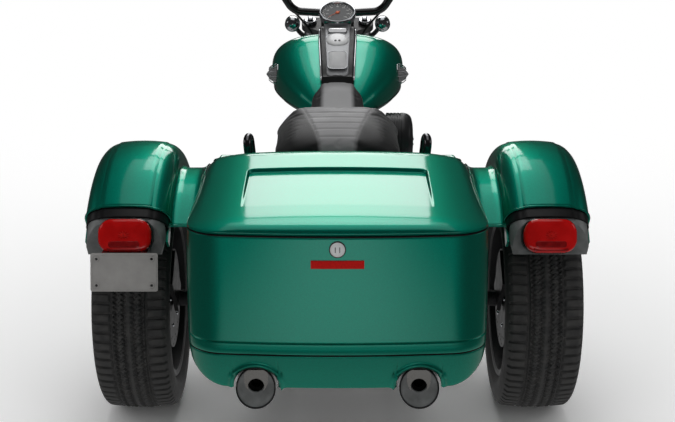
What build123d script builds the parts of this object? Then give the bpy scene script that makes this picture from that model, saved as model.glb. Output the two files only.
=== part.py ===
from build123d import *
import math
import os

# Motor trike: one steered front wheel, a V-twin engine in a tube frame, a two-up saddle,
# and a hollow rear trunk between two fender-covered wheels on a belt-driven axle.
# Millimetres. X is to the right, Y forward, Z up. While modelling, Y is counted from
# the rear axle; each piece is moved to the vehicle's own origin when it is written.

# Driving dimensions
wheelbase = 1670.0
rear_track = 1158.0
rear_overhang = 660.0
rake_deg = 26.0
fork_offset = 51.0

rear_tyre_radius = 325.0
rear_tyre_width = 218.0
rear_rim_radius = 228.6
front_tyre_radius = 319.0
front_tyre_width = 130.0
front_rim_radius = 241.3

running_gap = 0.3
moving_gap = 6.0
panel_gap = 5.0

frame_tube_radius = 16.0
seat_rail_radius = 14.0
rail_half_width = 145.0
rail_z = 150.0
seat_rail_half_width = 130.0
trunk_rail_z = 406.0
backbone_radius = 26.0
backbone_rear = (0.0, 620.0, 690.0)
backbone_front = (0.0, 1316.0, 838.0)
head_radius = 36.0
stem_radius = 20.0
head_low = 516.0
head_high = 664.0

crank_y = 770.0
crank_z = 290.0
crankcase_radius = 140.0
crankcase_half_width = 108.0
cylinder_angle_deg = 22.5
cylinder_base = 142.0
cylinder_top = 268.0
head_top = 330.0
rocker_top = 388.0
barrel_radius = 62.0
fin_length = 166.0
fin_width = 176.0
fin_thickness = 4.0
fin_pitch = 11.0

gearbox_half_width = 108.0
gearbox_rear = 430.0
gearbox_low = 166.0
gearbox_high = 430.0

muffler_x = 208.0
muffler_radius = 50.0
muffler_tip_y = -636.0
muffler_tip_z = 322.0
muffler_front_y = 230.0
muffler_front_z = 196.0
pipe_radius = 22.0

axle_tube_radius = 38.0
axle_end_radius = 24.0
axle_step_x = 314.0
spindle_radius = 20.0
pivot_y = 385.0
pivot_z = 330.0
belt_x = -66.0
belt_width = 26.0
belt_thickness = 6.0

trunk_half_width = 385.0
trunk_front_y = 130.0
trunk_wall = 8.0
trunk_floor_z = trunk_rail_z + seat_rail_radius
trunk_bottom_z = 310.0
trunk_corner_radius = 105.0
trunk_rear_bulge = 26.0
belt_line_z = 430.0
valance_top_z = 416.0
seam_z = 722.0
deck_z = 735.0
bottom_rear_y = -612.0
belt_line_rear_y = -rear_overhang + 2.0
seam_rear_y = -632.0
lid_rear_y = -606.0
lid_front_y = -22.0
lid_front_top_z = 799.0
lid_rear_top_z = 756.0
lid_crown = 18.0
lid_shoulder = 34.0
lid_slope_run = (-523.0, lid_rear_top_z - lid_front_top_z)
lid_thickness = 22.0
recess_half_width = 245.0
recess_front_y = -200.0
recess_rear_y = -490.0
recess_depth = 11.0
lid_hinge_y = lid_front_y - 10.5
lid_hinge_z = 745.0
hinge_pin_radius = 4.0
hinge_pin_gap = 0.05
hinge_x = (200.0, 240.0)

socket_x, socket_y = 167.0, 14.0
socket_radius = 8.0
socket_depth = 26.0

fender_crown_radius = 470.0
fender_width = 227.0
fender_x = 576.5
fender_lip_radius = 372.0
fender_wall = 6.0
fender_crown = 13.0
fender_corner = 52.0
fender_front_deg = 72.0
fender_rear_deg = 37.5
fender_side_rear_deg = 47.0
bridge_radius = 391.0
bridge_rear_deg = 38.7
bridge_front_deg = 56.0

plate_width = 178.0
plate_height = 102.0
plate_thickness = 2.5
plate_hole_radius = 3.5
plate_hole_half_x = 73.0
plate_hole_half_z = 35.0
plate_x = -564.0
plate_y = -432.0
plate_z = 561.0
plate_tilt_deg = 15.0

lamp_x = 567.0
lamp_width = 143.0
lamp_height = 92.0
lamp_depth = 44.0
lamp_tilt_deg = 18.0
lamp_y = -368.0
lamp_z = 641.0

tank_front_y = 1238.0
gauge_y = 1165.0
gauge_z = 1009.0
gauge_radius = 65.0
gauge_tilt_deg = 26.0
console_half_width = 58.0

fork_half_track = 105.0
fork_leg_radius = 28.0
fork_tube_radius = 24.5
fork_leg_top = 330.0
clamp_low = 484.0
clamp_high = 672.0
clamp_thickness = 26.0
bar_radius = 15.0
bar_y = 1300.0
bar_z = 990.0

axle_z = rear_tyre_radius
wheel_x = rear_track / 2
row_shift = (rear_overhang - wheelbase - front_tyre_radius) / 2

fork_plane = Plane(
    origin=(0, wheelbase, front_tyre_radius),
    x_dir=(1, 0, 0),
    z_dir=(0, -math.sin(math.radians(rake_deg)), math.cos(math.radians(rake_deg))),
)


def rod(start, end, radius):
    """A round bar between two points."""
    a, b = Vector(*start), Vector(*end)
    return extrude(Plane(origin=a, z_dir=b - a) * Circle(radius), amount=(b - a).length)


def between(start, end, share):
    """The point a share of the way from start to end."""
    return tuple(a + (b - a) * share for a, b in zip(start, end))


def bent_tube(points, radius, bend):
    """A round bar along straight runs with rounded corners."""
    path = FilletPolyline(*points, radius=bend)
    return sweep(Plane(origin=path @ 0, z_dir=path % 0) * Circle(radius), path=path)


def cross_bar(x_low, x_high, y, z, radius):
    """A round bar along X."""
    return rod((x_low, y, z), (x_high, y, z), radius)


def block(x, y, z):
    """A box given by its low and high values along each axis."""
    size = (x[1] - x[0], y[1] - y[0], z[1] - z[0])
    return Pos((x[0] + x[1]) / 2, (y[0] + y[1]) / 2, (z[0] + z[1]) / 2) * Box(*size)


def largest(shape):
    """The biggest of a shape's solids, without the scraps a cut may leave."""
    return Compound(children=[max(shape.solids(), key=lambda solid: solid.volume)])


def mirrored(shape):
    return mirror(shape, about=Plane.YZ)


def both_sides(shape):
    return shape + mirrored(shape)


def polygon(points):
    return make_face(Polyline(*points, close=True))


def on_fork(shape):
    """From the fork's own frame (origin at the front axle, Z along the legs) to the vehicle's."""
    return fork_plane.location * shape


# Wheels: modelled about the X axis with the outer side towards +X


def tyre(width, radius, rim_radius):
    """Flat-crowned section with round shoulders, turned about the axle."""
    bead = (width * 0.40, rim_radius)
    belly = (width * 0.50, rim_radius + (radius - rim_radius) * 0.46)
    side = (width * 0.488, radius - width * 0.15)
    shoulder = (width * 0.464, radius - width * 0.075)
    tread = (width * 0.415, radius - width * 0.03)

    def other(point):
        return (-point[0], point[1])

    outline = (
        Line(bead, other(bead))
        + ThreePointArc(other(bead), other(belly), other(side))
        + ThreePointArc(other(side), other(shoulder), other(tread))
        + ThreePointArc(other(tread), (0, radius), tread)
        + ThreePointArc(tread, shoulder, side)
        + ThreePointArc(side, belly, bead)
    )
    return revolve(make_face(outline), Axis.X)


def wheel(width, rim_radius, hub_radius, hub_low, hub_high, bore, spoke_low, spoke_high):
    """Cast wheel: barrel, hub and five split pairs of spokes."""
    barrel_wall = 13.0
    bead = width * 0.40
    inner = rim_radius - barrel_wall
    barrel = revolve(
        polygon([(-bead - 8, inner), (bead + 8, inner), (bead + 8, rim_radius), (-bead - 8, rim_radius)]),
        Axis.X,
    )
    hub = cross_bar(hub_low, hub_high, 0, 0, hub_radius)
    spoke_count = 5
    split_half_deg = 10.0
    spoke_width = 20.0
    arm = block((spoke_low, spoke_high), (-spoke_width / 2, spoke_width / 2), (hub_radius - 6, inner + 4))
    arms = []
    for turn in range(spoke_count):
        for side in (-1, 1):
            arms.append(Rot(turn * 360 / spoke_count + side * split_half_deg, 0, 0) * arm)
    body = barrel + hub + arms
    return body - cross_bar(hub_low - 1, hub_high + 1, 0, 0, bore)


def disc(x_low, x_high, radius, hub_radius):
    ring = cross_bar(x_low, x_high, 0, 0, radius) - cross_bar(x_low, x_high, 0, 0, hub_radius)
    return ring


disc_radius = 148.0
rear_disc_low, rear_disc_high = -86.0, -79.0
rear_hub_low, rear_hub_high = -86.0, 34.0
front_disc_low, front_disc_high = 56.0, 62.0
front_hub_half = 68.0
front_axle_radius = 12.5


def rear_wheel():
    body = wheel(
        rear_tyre_width, rear_rim_radius, 52.0, rear_hub_low, rear_hub_high,
        spindle_radius + running_gap, 2.0, 26.0,
    )
    return body + disc(rear_disc_low, rear_disc_high, disc_radius, 50.0)


def front_wheel():
    body = wheel(
        front_tyre_width, front_rim_radius, 38.0, -front_hub_half, front_hub_half,
        front_axle_radius + running_gap, -14.0, 14.0,
    )
    right = disc(front_disc_low, front_disc_high, disc_radius, 36.0)
    return body + right + mirrored(right)


def at_rear_wheel(shape):
    return Pos(wheel_x, 0, axle_z) * shape


def at_front_wheel(shape):
    return Pos(0, wheelbase, front_tyre_radius) * shape


# Frame


def frame():
    head = on_fork(rod((0, -fork_offset, head_low), (0, -fork_offset, head_high), head_radius))
    stem_hole = on_fork(
        rod((0, -fork_offset, head_low - 1), (0, -fork_offset, head_high + 1), stem_radius + running_gap)
    )
    backbone = rod(backbone_rear, backbone_front, backbone_radius)
    downtube = bent_tube(
        [
            (30, 1338, 800),
            (rail_half_width - 40, 1230, 560),
            (rail_half_width, 1150, rail_z),
            (rail_half_width, 330, rail_z),
            (rail_half_width, 250, 430),
            (seat_rail_half_width, 262, 574),
        ],
        frame_tube_radius,
        55,
    )
    seat_rail = bent_tube(
        [
            (10, 640, 690),
            (seat_rail_half_width, 540, 655),
            (seat_rail_half_width, 200, 560),
            (seat_rail_half_width, -110, trunk_rail_z),
            (seat_rail_half_width, -460, trunk_rail_z),
        ],
        seat_rail_radius,
        50,
    )
    pivot_plate = block((124, 136), (345, 411), (rail_z, 425))
    cross_members = [
        block((-rail_half_width, rail_half_width), (y - 20, y + 20), (rail_z - 16, rail_z))
        for y in (crank_y, crank_y + 330)
    ]
    gearbox_rest = block((-rail_half_width, rail_half_width), (450, 490), (rail_z - 12, gearbox_low))
    shock_bar = cross_bar(-300, 300, shock_top_y, shock_top_z, 13)
    trunk_bar = block((-300, 300), (-300, -260), (trunk_floor_z - 18, trunk_floor_z))
    tubes = [head, backbone, shock_bar, gearbox_rest, trunk_bar] + cross_members
    for side_piece in (downtube, seat_rail, pivot_plate):
        tubes += [side_piece, mirrored(side_piece)]
    body = tubes[0].fuse(*tubes[1:])
    return body - stem_hole


shock_x = 285.0
shock_top_y = 236.0
shock_top_z = 553.0
shock_low_y = 30.0
shock_low_z = axle_z + 30.0


# Engine


def crankcase():
    case = cross_bar(-crankcase_half_width, crankcase_half_width, crank_y, crank_z, crankcase_radius)
    gearbox = block(
        (-gearbox_half_width, gearbox_half_width), (gearbox_rear, crank_y), (gearbox_low, gearbox_high)
    )
    slot = block(
        (belt_x - belt_width / 2 - 8, belt_x + belt_width / 2 + 8),
        (gearbox_rear - 1, 545),
        (pivot_z - 60, pivot_z + 60),
    )
    return case + gearbox - slot


def on_cylinder(shape, lean):
    """Stands a shape, modelled upright from the crank's centre, on the front (+1) or rear (-1) cylinder."""
    return Pos(0, crank_y, crank_z) * Rot(-lean * cylinder_angle_deg, 0, 0) * shape


def cylinder_stack():
    foot = cylinder_base - 30
    barrel = extrude(Plane.XY.offset(foot) * Circle(barrel_radius), amount=cylinder_top - foot)
    head_size = (fin_width - 34, fin_length - 34, head_top - cylinder_top)
    head = Pos(0, 0, (cylinder_top + head_top) / 2) * Box(*head_size)
    fin = extrude(RectangleRounded(fin_width, fin_length, 34), amount=fin_thickness)
    count = int((head_top - cylinder_base) // fin_pitch)
    fins = [Pos(0, 0, cylinder_base + 4 + index * fin_pitch) * fin for index in range(count)]
    return barrel.fuse(head, *fins)


def half_space(lean):
    """Everything on one side of the plane between the two cylinders."""
    gap = 2.0
    low, high = (crank_y + gap, crank_y + 500) if lean > 0 else (crank_y - 500, crank_y - gap)
    return block((-200, 200), (low, high), (crank_z, crank_z + 500))


def cylinders(case):
    stacks = []
    for lean in (1, -1):
        stacks.append((on_cylinder(cylinder_stack(), lean) & half_space(lean)) - case)
    return stacks[0] + stacks[1]


def rocker_covers():
    cover = extrude(
        Plane.XY.offset(head_top) * RectangleRounded(fin_width - 14, fin_length - 44, 26),
        amount=rocker_top - head_top,
        taper=8,
    )
    return on_cylinder(cover, 1) + on_cylinder(cover, -1)


primary_x = (-crankcase_half_width - 96.0, -crankcase_half_width)
clutch_y, clutch_z = 532.0, 300.0


def primary_cover():
    """Long cover over the primary drive on the left: two round ends joined by a hull."""
    front, rear = (crank_y + 10, crank_z), (clutch_y, clutch_z)
    front_radius, rear_radius = 118.0, 112.0
    plane = Plane(origin=(primary_x[0], 0, 0), x_dir=(0, 1, 0), z_dir=(1, 0, 0))
    outline = make_hull(
        (Pos(*front) * Circle(front_radius)).edges() + (Pos(*rear) * Circle(rear_radius)).edges()
    )
    body = extrude(plane * outline, amount=primary_x[1] - primary_x[0])
    clutch_cap = cross_bar(primary_x[0] - 10, primary_x[0], clutch_y, clutch_z, 74)
    return body + clutch_cap


def timing_cover(case, stacks):
    """Round cover on the right with the four pushrod tubes that rise from it."""
    cover = cross_bar(crankcase_half_width, crankcase_half_width + 42, crank_y - 4, crank_z + 14, 92)
    shelf = cross_bar(crankcase_half_width, crankcase_half_width + 34, crank_y, crank_z + 92, 44)
    body = cover + shelf
    tube_x = crankcase_half_width + 14
    for lean in (1, -1):
        for offset in (14, 44):
            foot = (tube_x, crank_y + lean * offset, crank_z + 112)
            top_y = crank_y + lean * (offset + 92)
            body += rod(foot, (tube_x - 22, top_y, crank_z + 316), 9)
    return body - case - stacks


air_cleaner_y, air_cleaner_z = 806.0, 614.0
air_cleaner_radius = 96.0


def air_cleaner(stacks, covers):
    backing = cross_bar(30, 172, air_cleaner_y - 26, air_cleaner_z - 30, 40)
    drum = cross_bar(172, 262, air_cleaner_y, air_cleaner_z, air_cleaner_radius)
    drum = fillet(drum.edges().filter_by(GeomType.CIRCLE).sort_by(Axis.X)[-1:], 26)
    return drum + backing - stacks - covers


def muffler_point(y):
    """Centre height of a muffler at a station along the vehicle."""
    share = (y - muffler_tip_y) / (muffler_front_y - muffler_tip_y)
    return muffler_tip_z + share * (muffler_front_z - muffler_tip_z)


def mufflers():
    """Long round mufflers whose ends are cut on the slant, with a small outlet bore."""
    tip = (muffler_x, muffler_tip_y - 40, muffler_point(muffler_tip_y - 40))
    front = (muffler_x, muffler_front_y, muffler_front_z)
    body = rod(tip, front, muffler_radius)
    bore_y, dish_y = muffler_tip_y + 70, muffler_tip_y + 12
    bore = rod(tip, (muffler_x, bore_y, muffler_point(bore_y)), muffler_radius * 0.42)
    dish = rod(tip, (muffler_x, dish_y, muffler_point(dish_y)), muffler_radius - 3)
    slant = Pos(muffler_x, muffler_tip_y, muffler_tip_z) * Rot(-24, 0, 0) * Pos(0, -60, 0)
    slant = slant * Box(160, 120, 260)
    cone = extrude(
        Plane(origin=front, z_dir=Vector(*front) - Vector(*tip)) * Circle(muffler_radius),
        amount=52,
        taper=24,
    )
    right = body + cone - bore - dish - slant
    return both_sides(right)


pipe_low_z = muffler_front_z - 8.0


def exhaust_pipes(cutters):
    """Two headers on the right into one collector, with a crossover to the left muffler."""
    pipe_x = 186.0
    front_header = bent_tube(
        [
            (70, crank_y + 150, 560),
            (150, crank_y + 178, 556),
            (pipe_x, crank_y + 190, 430),
            (pipe_x, crank_y + 130, 230),
            (muffler_x, 420, pipe_low_z + 2),
            (muffler_x, muffler_front_y + 30, pipe_low_z + 2),
        ],
        pipe_radius,
        34,
    )
    rear_header = bent_tube(
        [
            (70, crank_y - 150, 560),
            (150, crank_y - 172, 552),
            (pipe_x + 4, crank_y - 190, 430),
            (pipe_x + 8, crank_y - 150, 226),
        ],
        pipe_radius,
        34,
    )
    crossover = bent_tube(
        [
            (muffler_x, 340, pipe_low_z + 2),
            (muffler_x - 40, 290, pipe_low_z + 2),
            (-muffler_x + 40, 290, pipe_low_z + 2),
            (-muffler_x, 262, pipe_low_z + 2),
            (-muffler_x, 240, pipe_low_z + 2),
        ],
        pipe_radius - 3,
        20,
    )
    body = front_header + rear_header + crossover
    for cutter in cutters:
        body -= cutter
    return largest(body)


# Drive and rear axle


def swingarm():
    half = wheel_x + rear_hub_low - moving_gap
    axle = cross_bar(-axle_step_x, axle_step_x, 0, axle_z, axle_tube_radius)
    ends = cross_bar(-half, half, 0, axle_z, axle_end_radius)
    spindles = cross_bar(-wheel_x - 26, wheel_x + 26, 0, axle_z, spindle_radius)
    centre = cross_bar(-46, 60, 0, axle_z, 92)
    pulley = cross_bar(belt_x - belt_width / 2, belt_x + belt_width / 2, 0, axle_z, 96)
    pivot = cross_bar(-124, 124, pivot_y, pivot_z, 20)
    arm = rod((108, pivot_y, pivot_z), (108, 0, axle_z), 17)
    ear = block((shock_x - 22, shock_x + 22), (shock_low_y - 22, shock_low_y + 14), (axle_z, shock_low_z))
    return axle.fuse(ends, spindles, centre, pulley, pivot, arm, mirrored(arm), ear, mirrored(ear))


def drive_belt():
    front_radius, rear_radius = 46.0, 96.0
    plane = Plane(origin=(belt_x - belt_width / 2, 0, 0), x_dir=(0, 1, 0), z_dir=(1, 0, 0))

    def loop(extra):
        front = Pos(490, pivot_z) * Circle(front_radius + extra)
        rear = Pos(0, axle_z) * Circle(rear_radius + extra)
        return make_hull(front.edges() + rear.edges())

    band = extrude(plane * (loop(belt_thickness) - loop(0)), amount=belt_width)
    front_pulley = cross_bar(belt_x - belt_width / 2, belt_x + belt_width / 2, 490, pivot_z, front_radius)
    shaft = cross_bar(belt_x - belt_width / 2 - 8, belt_x + belt_width / 2 + 8, 490, pivot_z, 20)
    return band + front_pulley + shaft


def shock_absorbers(frame_body, arm_body):
    low = (shock_x, shock_low_y, shock_low_z)
    top = (shock_x, shock_top_y, shock_top_z)
    shaft = rod(low, top, 9)
    sleeve = rod(between(low, top, 0.12), between(low, top, 0.86), 27)
    return both_sides(shaft + sleeve - frame_body - arm_body)


caliper_outer = 172.0


def rear_calipers():
    """A calliper behind the top of each rear disc, on a plate from the axle tube."""
    x_disc = (wheel_x + rear_disc_low, wheel_x + rear_disc_high)
    plate_x = (x_disc[0] - moving_gap - 12, x_disc[0] - moving_gap)
    pad_x = (x_disc[1] + moving_gap, x_disc[1] + moving_gap + 12)
    plate = block(plate_x, (-46, 46), (0, 118))
    plate -= cross_bar(plate_x[0] - 1, plate_x[1] + 1, 0, 0, axle_end_radius)
    inner = block(plate_x, (-58, 58), (100, caliper_outer))
    outer = block(pad_x, (-52, 52), (108, caliper_outer))
    roof = block((plate_x[0], pad_x[1]), (-52, 52), (disc_radius + moving_gap, caliper_outer))
    right = Pos(0, 0, axle_z) * Rot(38, 0, 0) * (plate + inner + outer + roof)
    return both_sides(right)


# Trunk: where an outline from above, one from behind and one from the side all meet


def trunk_plan(rear_y, inset):
    """Outline from above: straight sides, a bowed rear and large rear corners."""
    half = trunk_half_width - inset
    corner_y = rear_y + trunk_rear_bulge + inset
    front_y = trunk_front_y + 100
    outline = (
        Polyline((-half, corner_y), (-half, front_y), (half, front_y), (half, corner_y))
        + ThreePointArc((half, corner_y), (0, rear_y + inset), (-half, corner_y))
    )
    face = make_face(outline)
    corners = face.vertices().filter_by(lambda v: abs(v.Y - corner_y) < 1)
    return fillet(corners, trunk_corner_radius - inset)


def leaning_slice(high_z, high_rear_y, low_z, low_rear_y, inset):
    """The trunk between two heights: its outline from above, carried down along its leaning rear."""
    face = Pos(0, 0, high_z) * trunk_plan(high_rear_y, inset)
    lean = Vector(0, low_rear_y - high_rear_y, low_z - high_z)
    return extrude(face, amount=lean.length, dir=lean)


def trunk_front_plan(inset):
    half = trunk_half_width
    right = [(0, trunk_front_y), (half - 86, trunk_front_y), (half - 36, trunk_front_y - 60), (half, -160)]
    right = right + [(half + 1, -rear_overhang - 60), (0, -rear_overhang - 60)]
    right = [(x - inset if x else x, y) for x, y in right]
    face = polygon(right)
    return extrude(face + mirror(face, about=Plane.YZ), amount=1000)


def trunk_sides(inset):
    """Outline from behind: walls that draw in slightly upwards and large lower corners."""
    half = trunk_half_width
    right = [
        (0, 1000), (half - 12, 1000), (half - 11, 790), (half - 6, 720), (half - 1, 620), (half, 520),
        (half - 3, 430), (half - 12, trunk_bottom_z), (0, trunk_bottom_z),
    ]
    right = [(x - inset if x else x, z) for x, z in right]
    face = polygon(right)
    face = face + mirror(face, about=Plane.YZ)
    foot = face.vertices().filter_by(lambda v: abs(v.Y - trunk_bottom_z) < 1 and abs(v.X) > 1)
    return extrude(Plane.XZ.offset(-300) * fillet(foot, 96 - inset), amount=1100)


def lid_roof(drop, inset):
    """Everything under the crowned roof, which falls towards the rear and rolls over at the sides."""
    edge = trunk_half_width - 11.0 - inset
    top = lid_front_top_z - drop
    outline = (
        Polyline((-edge, top - lid_crown), (-edge, 0), (edge, 0), (edge, top - lid_crown))
        + ThreePointArc((edge, top - lid_crown), (0, top), (-edge, top - lid_crown))
    )
    face = make_face(outline)
    shoulders = face.vertices().filter_by(lambda v: abs(v.Y - top + lid_crown) < 1)
    face = fillet(shoulders, lid_shoulder)
    start = Plane.XZ.offset(-lid_front_y) * face
    fall = Vector(0, lid_slope_run[0], lid_slope_run[1])
    back = extrude(start, amount=900, dir=fall)
    front = extrude(start, amount=300, dir=-fall)
    return back + front


def trunk_form(drop, inset):
    upper = leaning_slice(lid_front_top_z + 10, lid_rear_y + 12, seam_z, seam_rear_y, inset)
    middle = leaning_slice(seam_z, seam_rear_y, belt_line_z, belt_line_rear_y, inset)
    lower = leaning_slice(belt_line_z, belt_line_rear_y, trunk_bottom_z - 1, bottom_rear_y, inset)
    stack = upper + middle + lower
    return stack & trunk_front_plan(inset) & trunk_sides(inset) & lid_roof(drop, inset)


# The underside rises forward of the axle, over the rails and the shock absorbers.
underside_rise = [
    (-100.0, trunk_floor_z), (trunk_front_y + 2, 600.0), (trunk_front_y + 2, 0.0), (-100.0, 0.0),
]


def side_prism(points, half_width):
    """A Y-Z outline carried across the vehicle."""
    return extrude(Plane.YZ.offset(-half_width) * polygon(points), amount=2 * half_width)


def trunk_tub(outer, hollow):
    """Fixed load space: floor, walls and the deck ahead of the lid, open at the top for the lid."""
    body = outer & block((-500, 500), (-800, 300), (trunk_floor_z, deck_z))
    body -= block((-500, 500), (-800, lid_front_y), (seam_z, 900))
    body -= side_prism(underside_rise, 500)
    inside_z = (trunk_floor_z + trunk_wall, deck_z - trunk_wall)
    cavity = hollow & block((-500, 500), (-800, trunk_front_y - trunk_wall), inside_z)
    rise = [(y, z + 1.3 * trunk_wall) if z else (y, z) for y, z in underside_rise]
    cavity -= side_prism(rise, 500)
    mouth = hollow & block((-500, 500), (-800, lid_front_y - 2), (seam_z - 60, 900))
    body = (body - cavity - mouth) + lid_hinges()
    for side in (-1, 1):
        foot = (side * socket_x, socket_y, deck_z - socket_depth)
        body += rod((*foot[:2], foot[2] - 6), (*foot[:2], deck_z), socket_radius + 6)
        body -= rod(foot, (*foot[:2], deck_z + 1), socket_radius)
    return body


def trunk_lid(outer, hollow_low):
    """The lid's skin, with its thick roof, a front wall and the two hinge knuckles."""
    zone = block((-500, 500), (-800, lid_front_y - 3), (seam_z + panel_gap, 900))
    body = (outer & zone) - hollow_low
    front_wall = outer & block((-330, 330), (lid_front_y - 18, lid_front_y - 3), (seam_z + panel_gap, 900))
    body += front_wall
    return body - lid_recess() - lid_hinge_slots()


def lid_top_z(y):
    """Height of the roof's centre line at a station."""
    return lid_front_top_z + (y - lid_front_y) * lid_slope_run[1] / lid_slope_run[0]


def lid_recess():
    """Wedge cut into the roof: a step at its front that runs out to nothing at its rear."""
    side = [
        (recess_front_y, 900), (recess_front_y, lid_top_z(recess_front_y) - recess_depth),
        (recess_rear_y, lid_top_z(recess_rear_y)), (recess_rear_y, 900),
    ]
    wedge = side_prism(side, recess_half_width)
    return fillet(wedge.edges().filter_by(Axis.Z).sort_by(Axis.Y)[-2:], 16)


def lid_hinge_slots():
    slot = block(
        (hinge_x[0] - panel_gap, hinge_x[1] + panel_gap),
        (lid_front_y - 40, lid_front_y),
        (seam_z, lid_hinge_z + 13),
    )
    hole_radius = hinge_pin_radius + hinge_pin_gap
    hole = cross_bar(hinge_x[0] - 13, hinge_x[1] + 13, lid_hinge_y, lid_hinge_z, hole_radius)
    return both_sides(slot + hole)


def lid_hinges():
    """Knuckles on the deck's rear edge whose pins run in the lid's front wall."""
    neck = [(-6, 3), (-6, -6), (2, -14), (24, -14), (24, -9.8), (13, -9.5), (6, -4)]
    neck = side_prism([(lid_hinge_y + y, lid_hinge_z + z) for y, z in neck], hinge_x[1])
    neck -= block((-hinge_x[0], hinge_x[0]), (-100, 100), (600, 900))
    knuckle = cross_bar(*hinge_x, lid_hinge_y, lid_hinge_z, 7)
    pin = cross_bar(hinge_x[0] - 12, hinge_x[1] + 12, lid_hinge_y, lid_hinge_z, hinge_pin_radius)
    return both_sides(knuckle + pin) + neck


def rear_valance(outer, hollow):
    """Skirt below the tub, cut out round the two muffler tips."""
    skirt = (outer - hollow) & block((-500, 500), (-800, -300), (trunk_bottom_z - 1, valance_top_z))
    for side in (1, -1):
        start = (side * muffler_x, -720, muffler_point(-720) - 4)
        end = (side * muffler_x, -200, muffler_point(-200) - 4)
        skirt -= rod(start, end, muffler_radius + 9)
    shelf = (outer & block((-500, 500), (-640, -300), (valance_top_z, trunk_floor_z)))
    return skirt + shelf


# Rear fenders: a crowned section turned about the axle


def fender_section(width, radius, lip, corner):
    half = width / 2
    edge = radius - fender_crown
    outline = (
        Polyline((-half, edge), (-half, lip), (half, lip), (half, edge))
        + ThreePointArc((half, edge), (0, radius), (-half, edge))
    )
    face = make_face(outline)
    return fillet(face.vertices().filter_by(lambda v: abs(v.Y - edge) < 1), corner)


def turned(face, front_deg, rear_deg):
    """Turns a section in the X-Z plane about the rear axle's line, from ahead of the top to behind it."""
    upright = Plane.XZ * face
    return revolve(Rot(-front_deg, 0, 0) * upright, Axis.X, revolution_arc=front_deg + rear_deg)


def fender_inside(lip):
    return fender_section(
        fender_width - 2 * fender_wall, fender_crown_radius - fender_wall, lip, fender_corner - fender_wall
    )


def rear_fender(trunk_outer):
    """Right fender with the bridge panel that joins it to the trunk."""
    crown = fender_section(fender_width, fender_crown_radius, fender_lip_radius, fender_corner)
    inside = fender_inside(fender_lip_radius - 20)
    shell = turned(crown - inside, fender_front_deg, fender_rear_deg)
    cheek_top = fender_crown_radius - 66
    cheek_face = (crown - inside) & Pos(0, (cheek_top + fender_lip_radius) / 2) * Rectangle(
        400, cheek_top - fender_lip_radius
    )
    cheek = turned(cheek_face, 0, fender_side_rear_deg)
    front_cap = turned(crown, fender_front_deg, -fender_front_deg + 1.2)
    shell = shell + cheek + front_cap
    shell = Pos(fender_x, 0, axle_z) * shell
    x_low = trunk_half_width - 60
    x_high = fender_x - fender_width / 2
    strip = Pos((x_low + x_high) / 2, bridge_radius - 3) * Rectangle(x_high - x_low, 6)
    bridge = Pos(0, 0, axle_z) * turned(strip, bridge_front_deg, bridge_rear_deg)
    web_foot = 334.0
    web = Rectangle(x_high - x_low, bridge_radius - web_foot)
    web = Pos((x_low + x_high) / 2, (bridge_radius + web_foot) / 2) * web
    bulkhead = Pos(0, 0, axle_z) * turned(web, bridge_front_deg, -bridge_front_deg + 1.2)
    return shell + ((bridge + bulkhead) - trunk_outer)


def lamp_frame():
    """Centre of the tail lamp, with Z pointing back and up out of the lens."""
    tilt = math.radians(lamp_tilt_deg)
    return Plane(
        origin=(lamp_x, lamp_y, lamp_z),
        x_dir=(1, 0, 0),
        z_dir=(0, -math.cos(tilt), math.sin(tilt)),
    )


def lamp_panel(fender):
    """Satin panel that closes the fender's rear end and carries the lamp."""
    wedge = Pos(fender_x, 0, axle_z) * turned(fender_inside(260), -fender_rear_deg + 8, 66)
    top, foot = fender_width / 2 - fender_wall, fender_width / 2 - 16
    shift = fender_x - lamp_x
    outline = polygon(
        [
            (shift - 130, 90), (shift + 130, 90), (shift + top, -12), (shift + foot, -50),
            (shift - foot, -50), (shift - top, -12),
        ]
    )
    slab = lamp_frame().offset(-lamp_depth).location * extrude(outline, amount=-34)
    return (slab & wedge) - fender


def plate_bracket(panel, plate):
    """Backing sheet behind the plate, with a shelf up to the left lamp panel."""
    frame_plane = plate_frame()
    sheet = extrude(frame_plane.offset(-plate_thickness) * RectangleRounded(124, 56, 6), amount=-5)
    x = plate_x
    shelf = block((x - 60, x + 60), (plate_y + 12, lamp_y + lamp_depth), (plate_z + 22, plate_z + 48))
    above = frame_plane.offset(-plate_thickness).location * Pos(0, 0, 100) * Box(400, 400, 200)
    return (sheet + shelf) - above - panel - plate


def tail_lamp():
    outline = RectangleRounded(lamp_width, lamp_height, 40)
    return lamp_frame().offset(-lamp_depth - 2).location * extrude(outline, amount=lamp_depth + 28, taper=5)


def plate_frame():
    tilt = math.radians(plate_tilt_deg)
    return Plane(
        origin=(plate_x, plate_y, plate_z), x_dir=(1, 0, 0), z_dir=(0, -math.cos(tilt), math.sin(tilt))
    )


def number_plate():
    plane = plate_frame()
    plate = extrude(plane * RectangleRounded(plate_width, plate_height, 6), amount=-plate_thickness)
    for sx in (-1, 1):
        for sz in (-1, 1):
            hole = Pos(sx * plate_hole_half_x, sz * plate_hole_half_z) * Circle(plate_hole_radius)
            plate -= extrude(plane * hole, amount=-3 * plate_thickness, both=True)
    return plate


# Tank, console and seats


def tank(cutters):
    """Teardrop fuel tank lofted through sections that are wide at the front and low at the rear."""
    # columns: station along the vehicle, half width, lowest and highest point
    sections = [
        (tank_front_y, 128, 752, 872),
        (1168, 226, 706, 934),
        (1060, 240, 694, 932),
        (930, 205, 694, 880),
        (800, 138, 700, 822),
        (726, 84, 708, 776),
    ]
    faces = []
    for y, half, low, high in sections:
        corner = 0.46 * min(2 * half, high - low)
        face = Pos(0, (low + high) / 2) * RectangleRounded(2 * half, high - low, corner)
        faces.append(Plane.XZ.offset(-y) * face)
    body = loft(faces)
    tunnel = block((-46, 46), (680, 1300), (640, 700))
    body -= tunnel
    for cutter in cutters:
        body -= cutter
    return body


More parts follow.
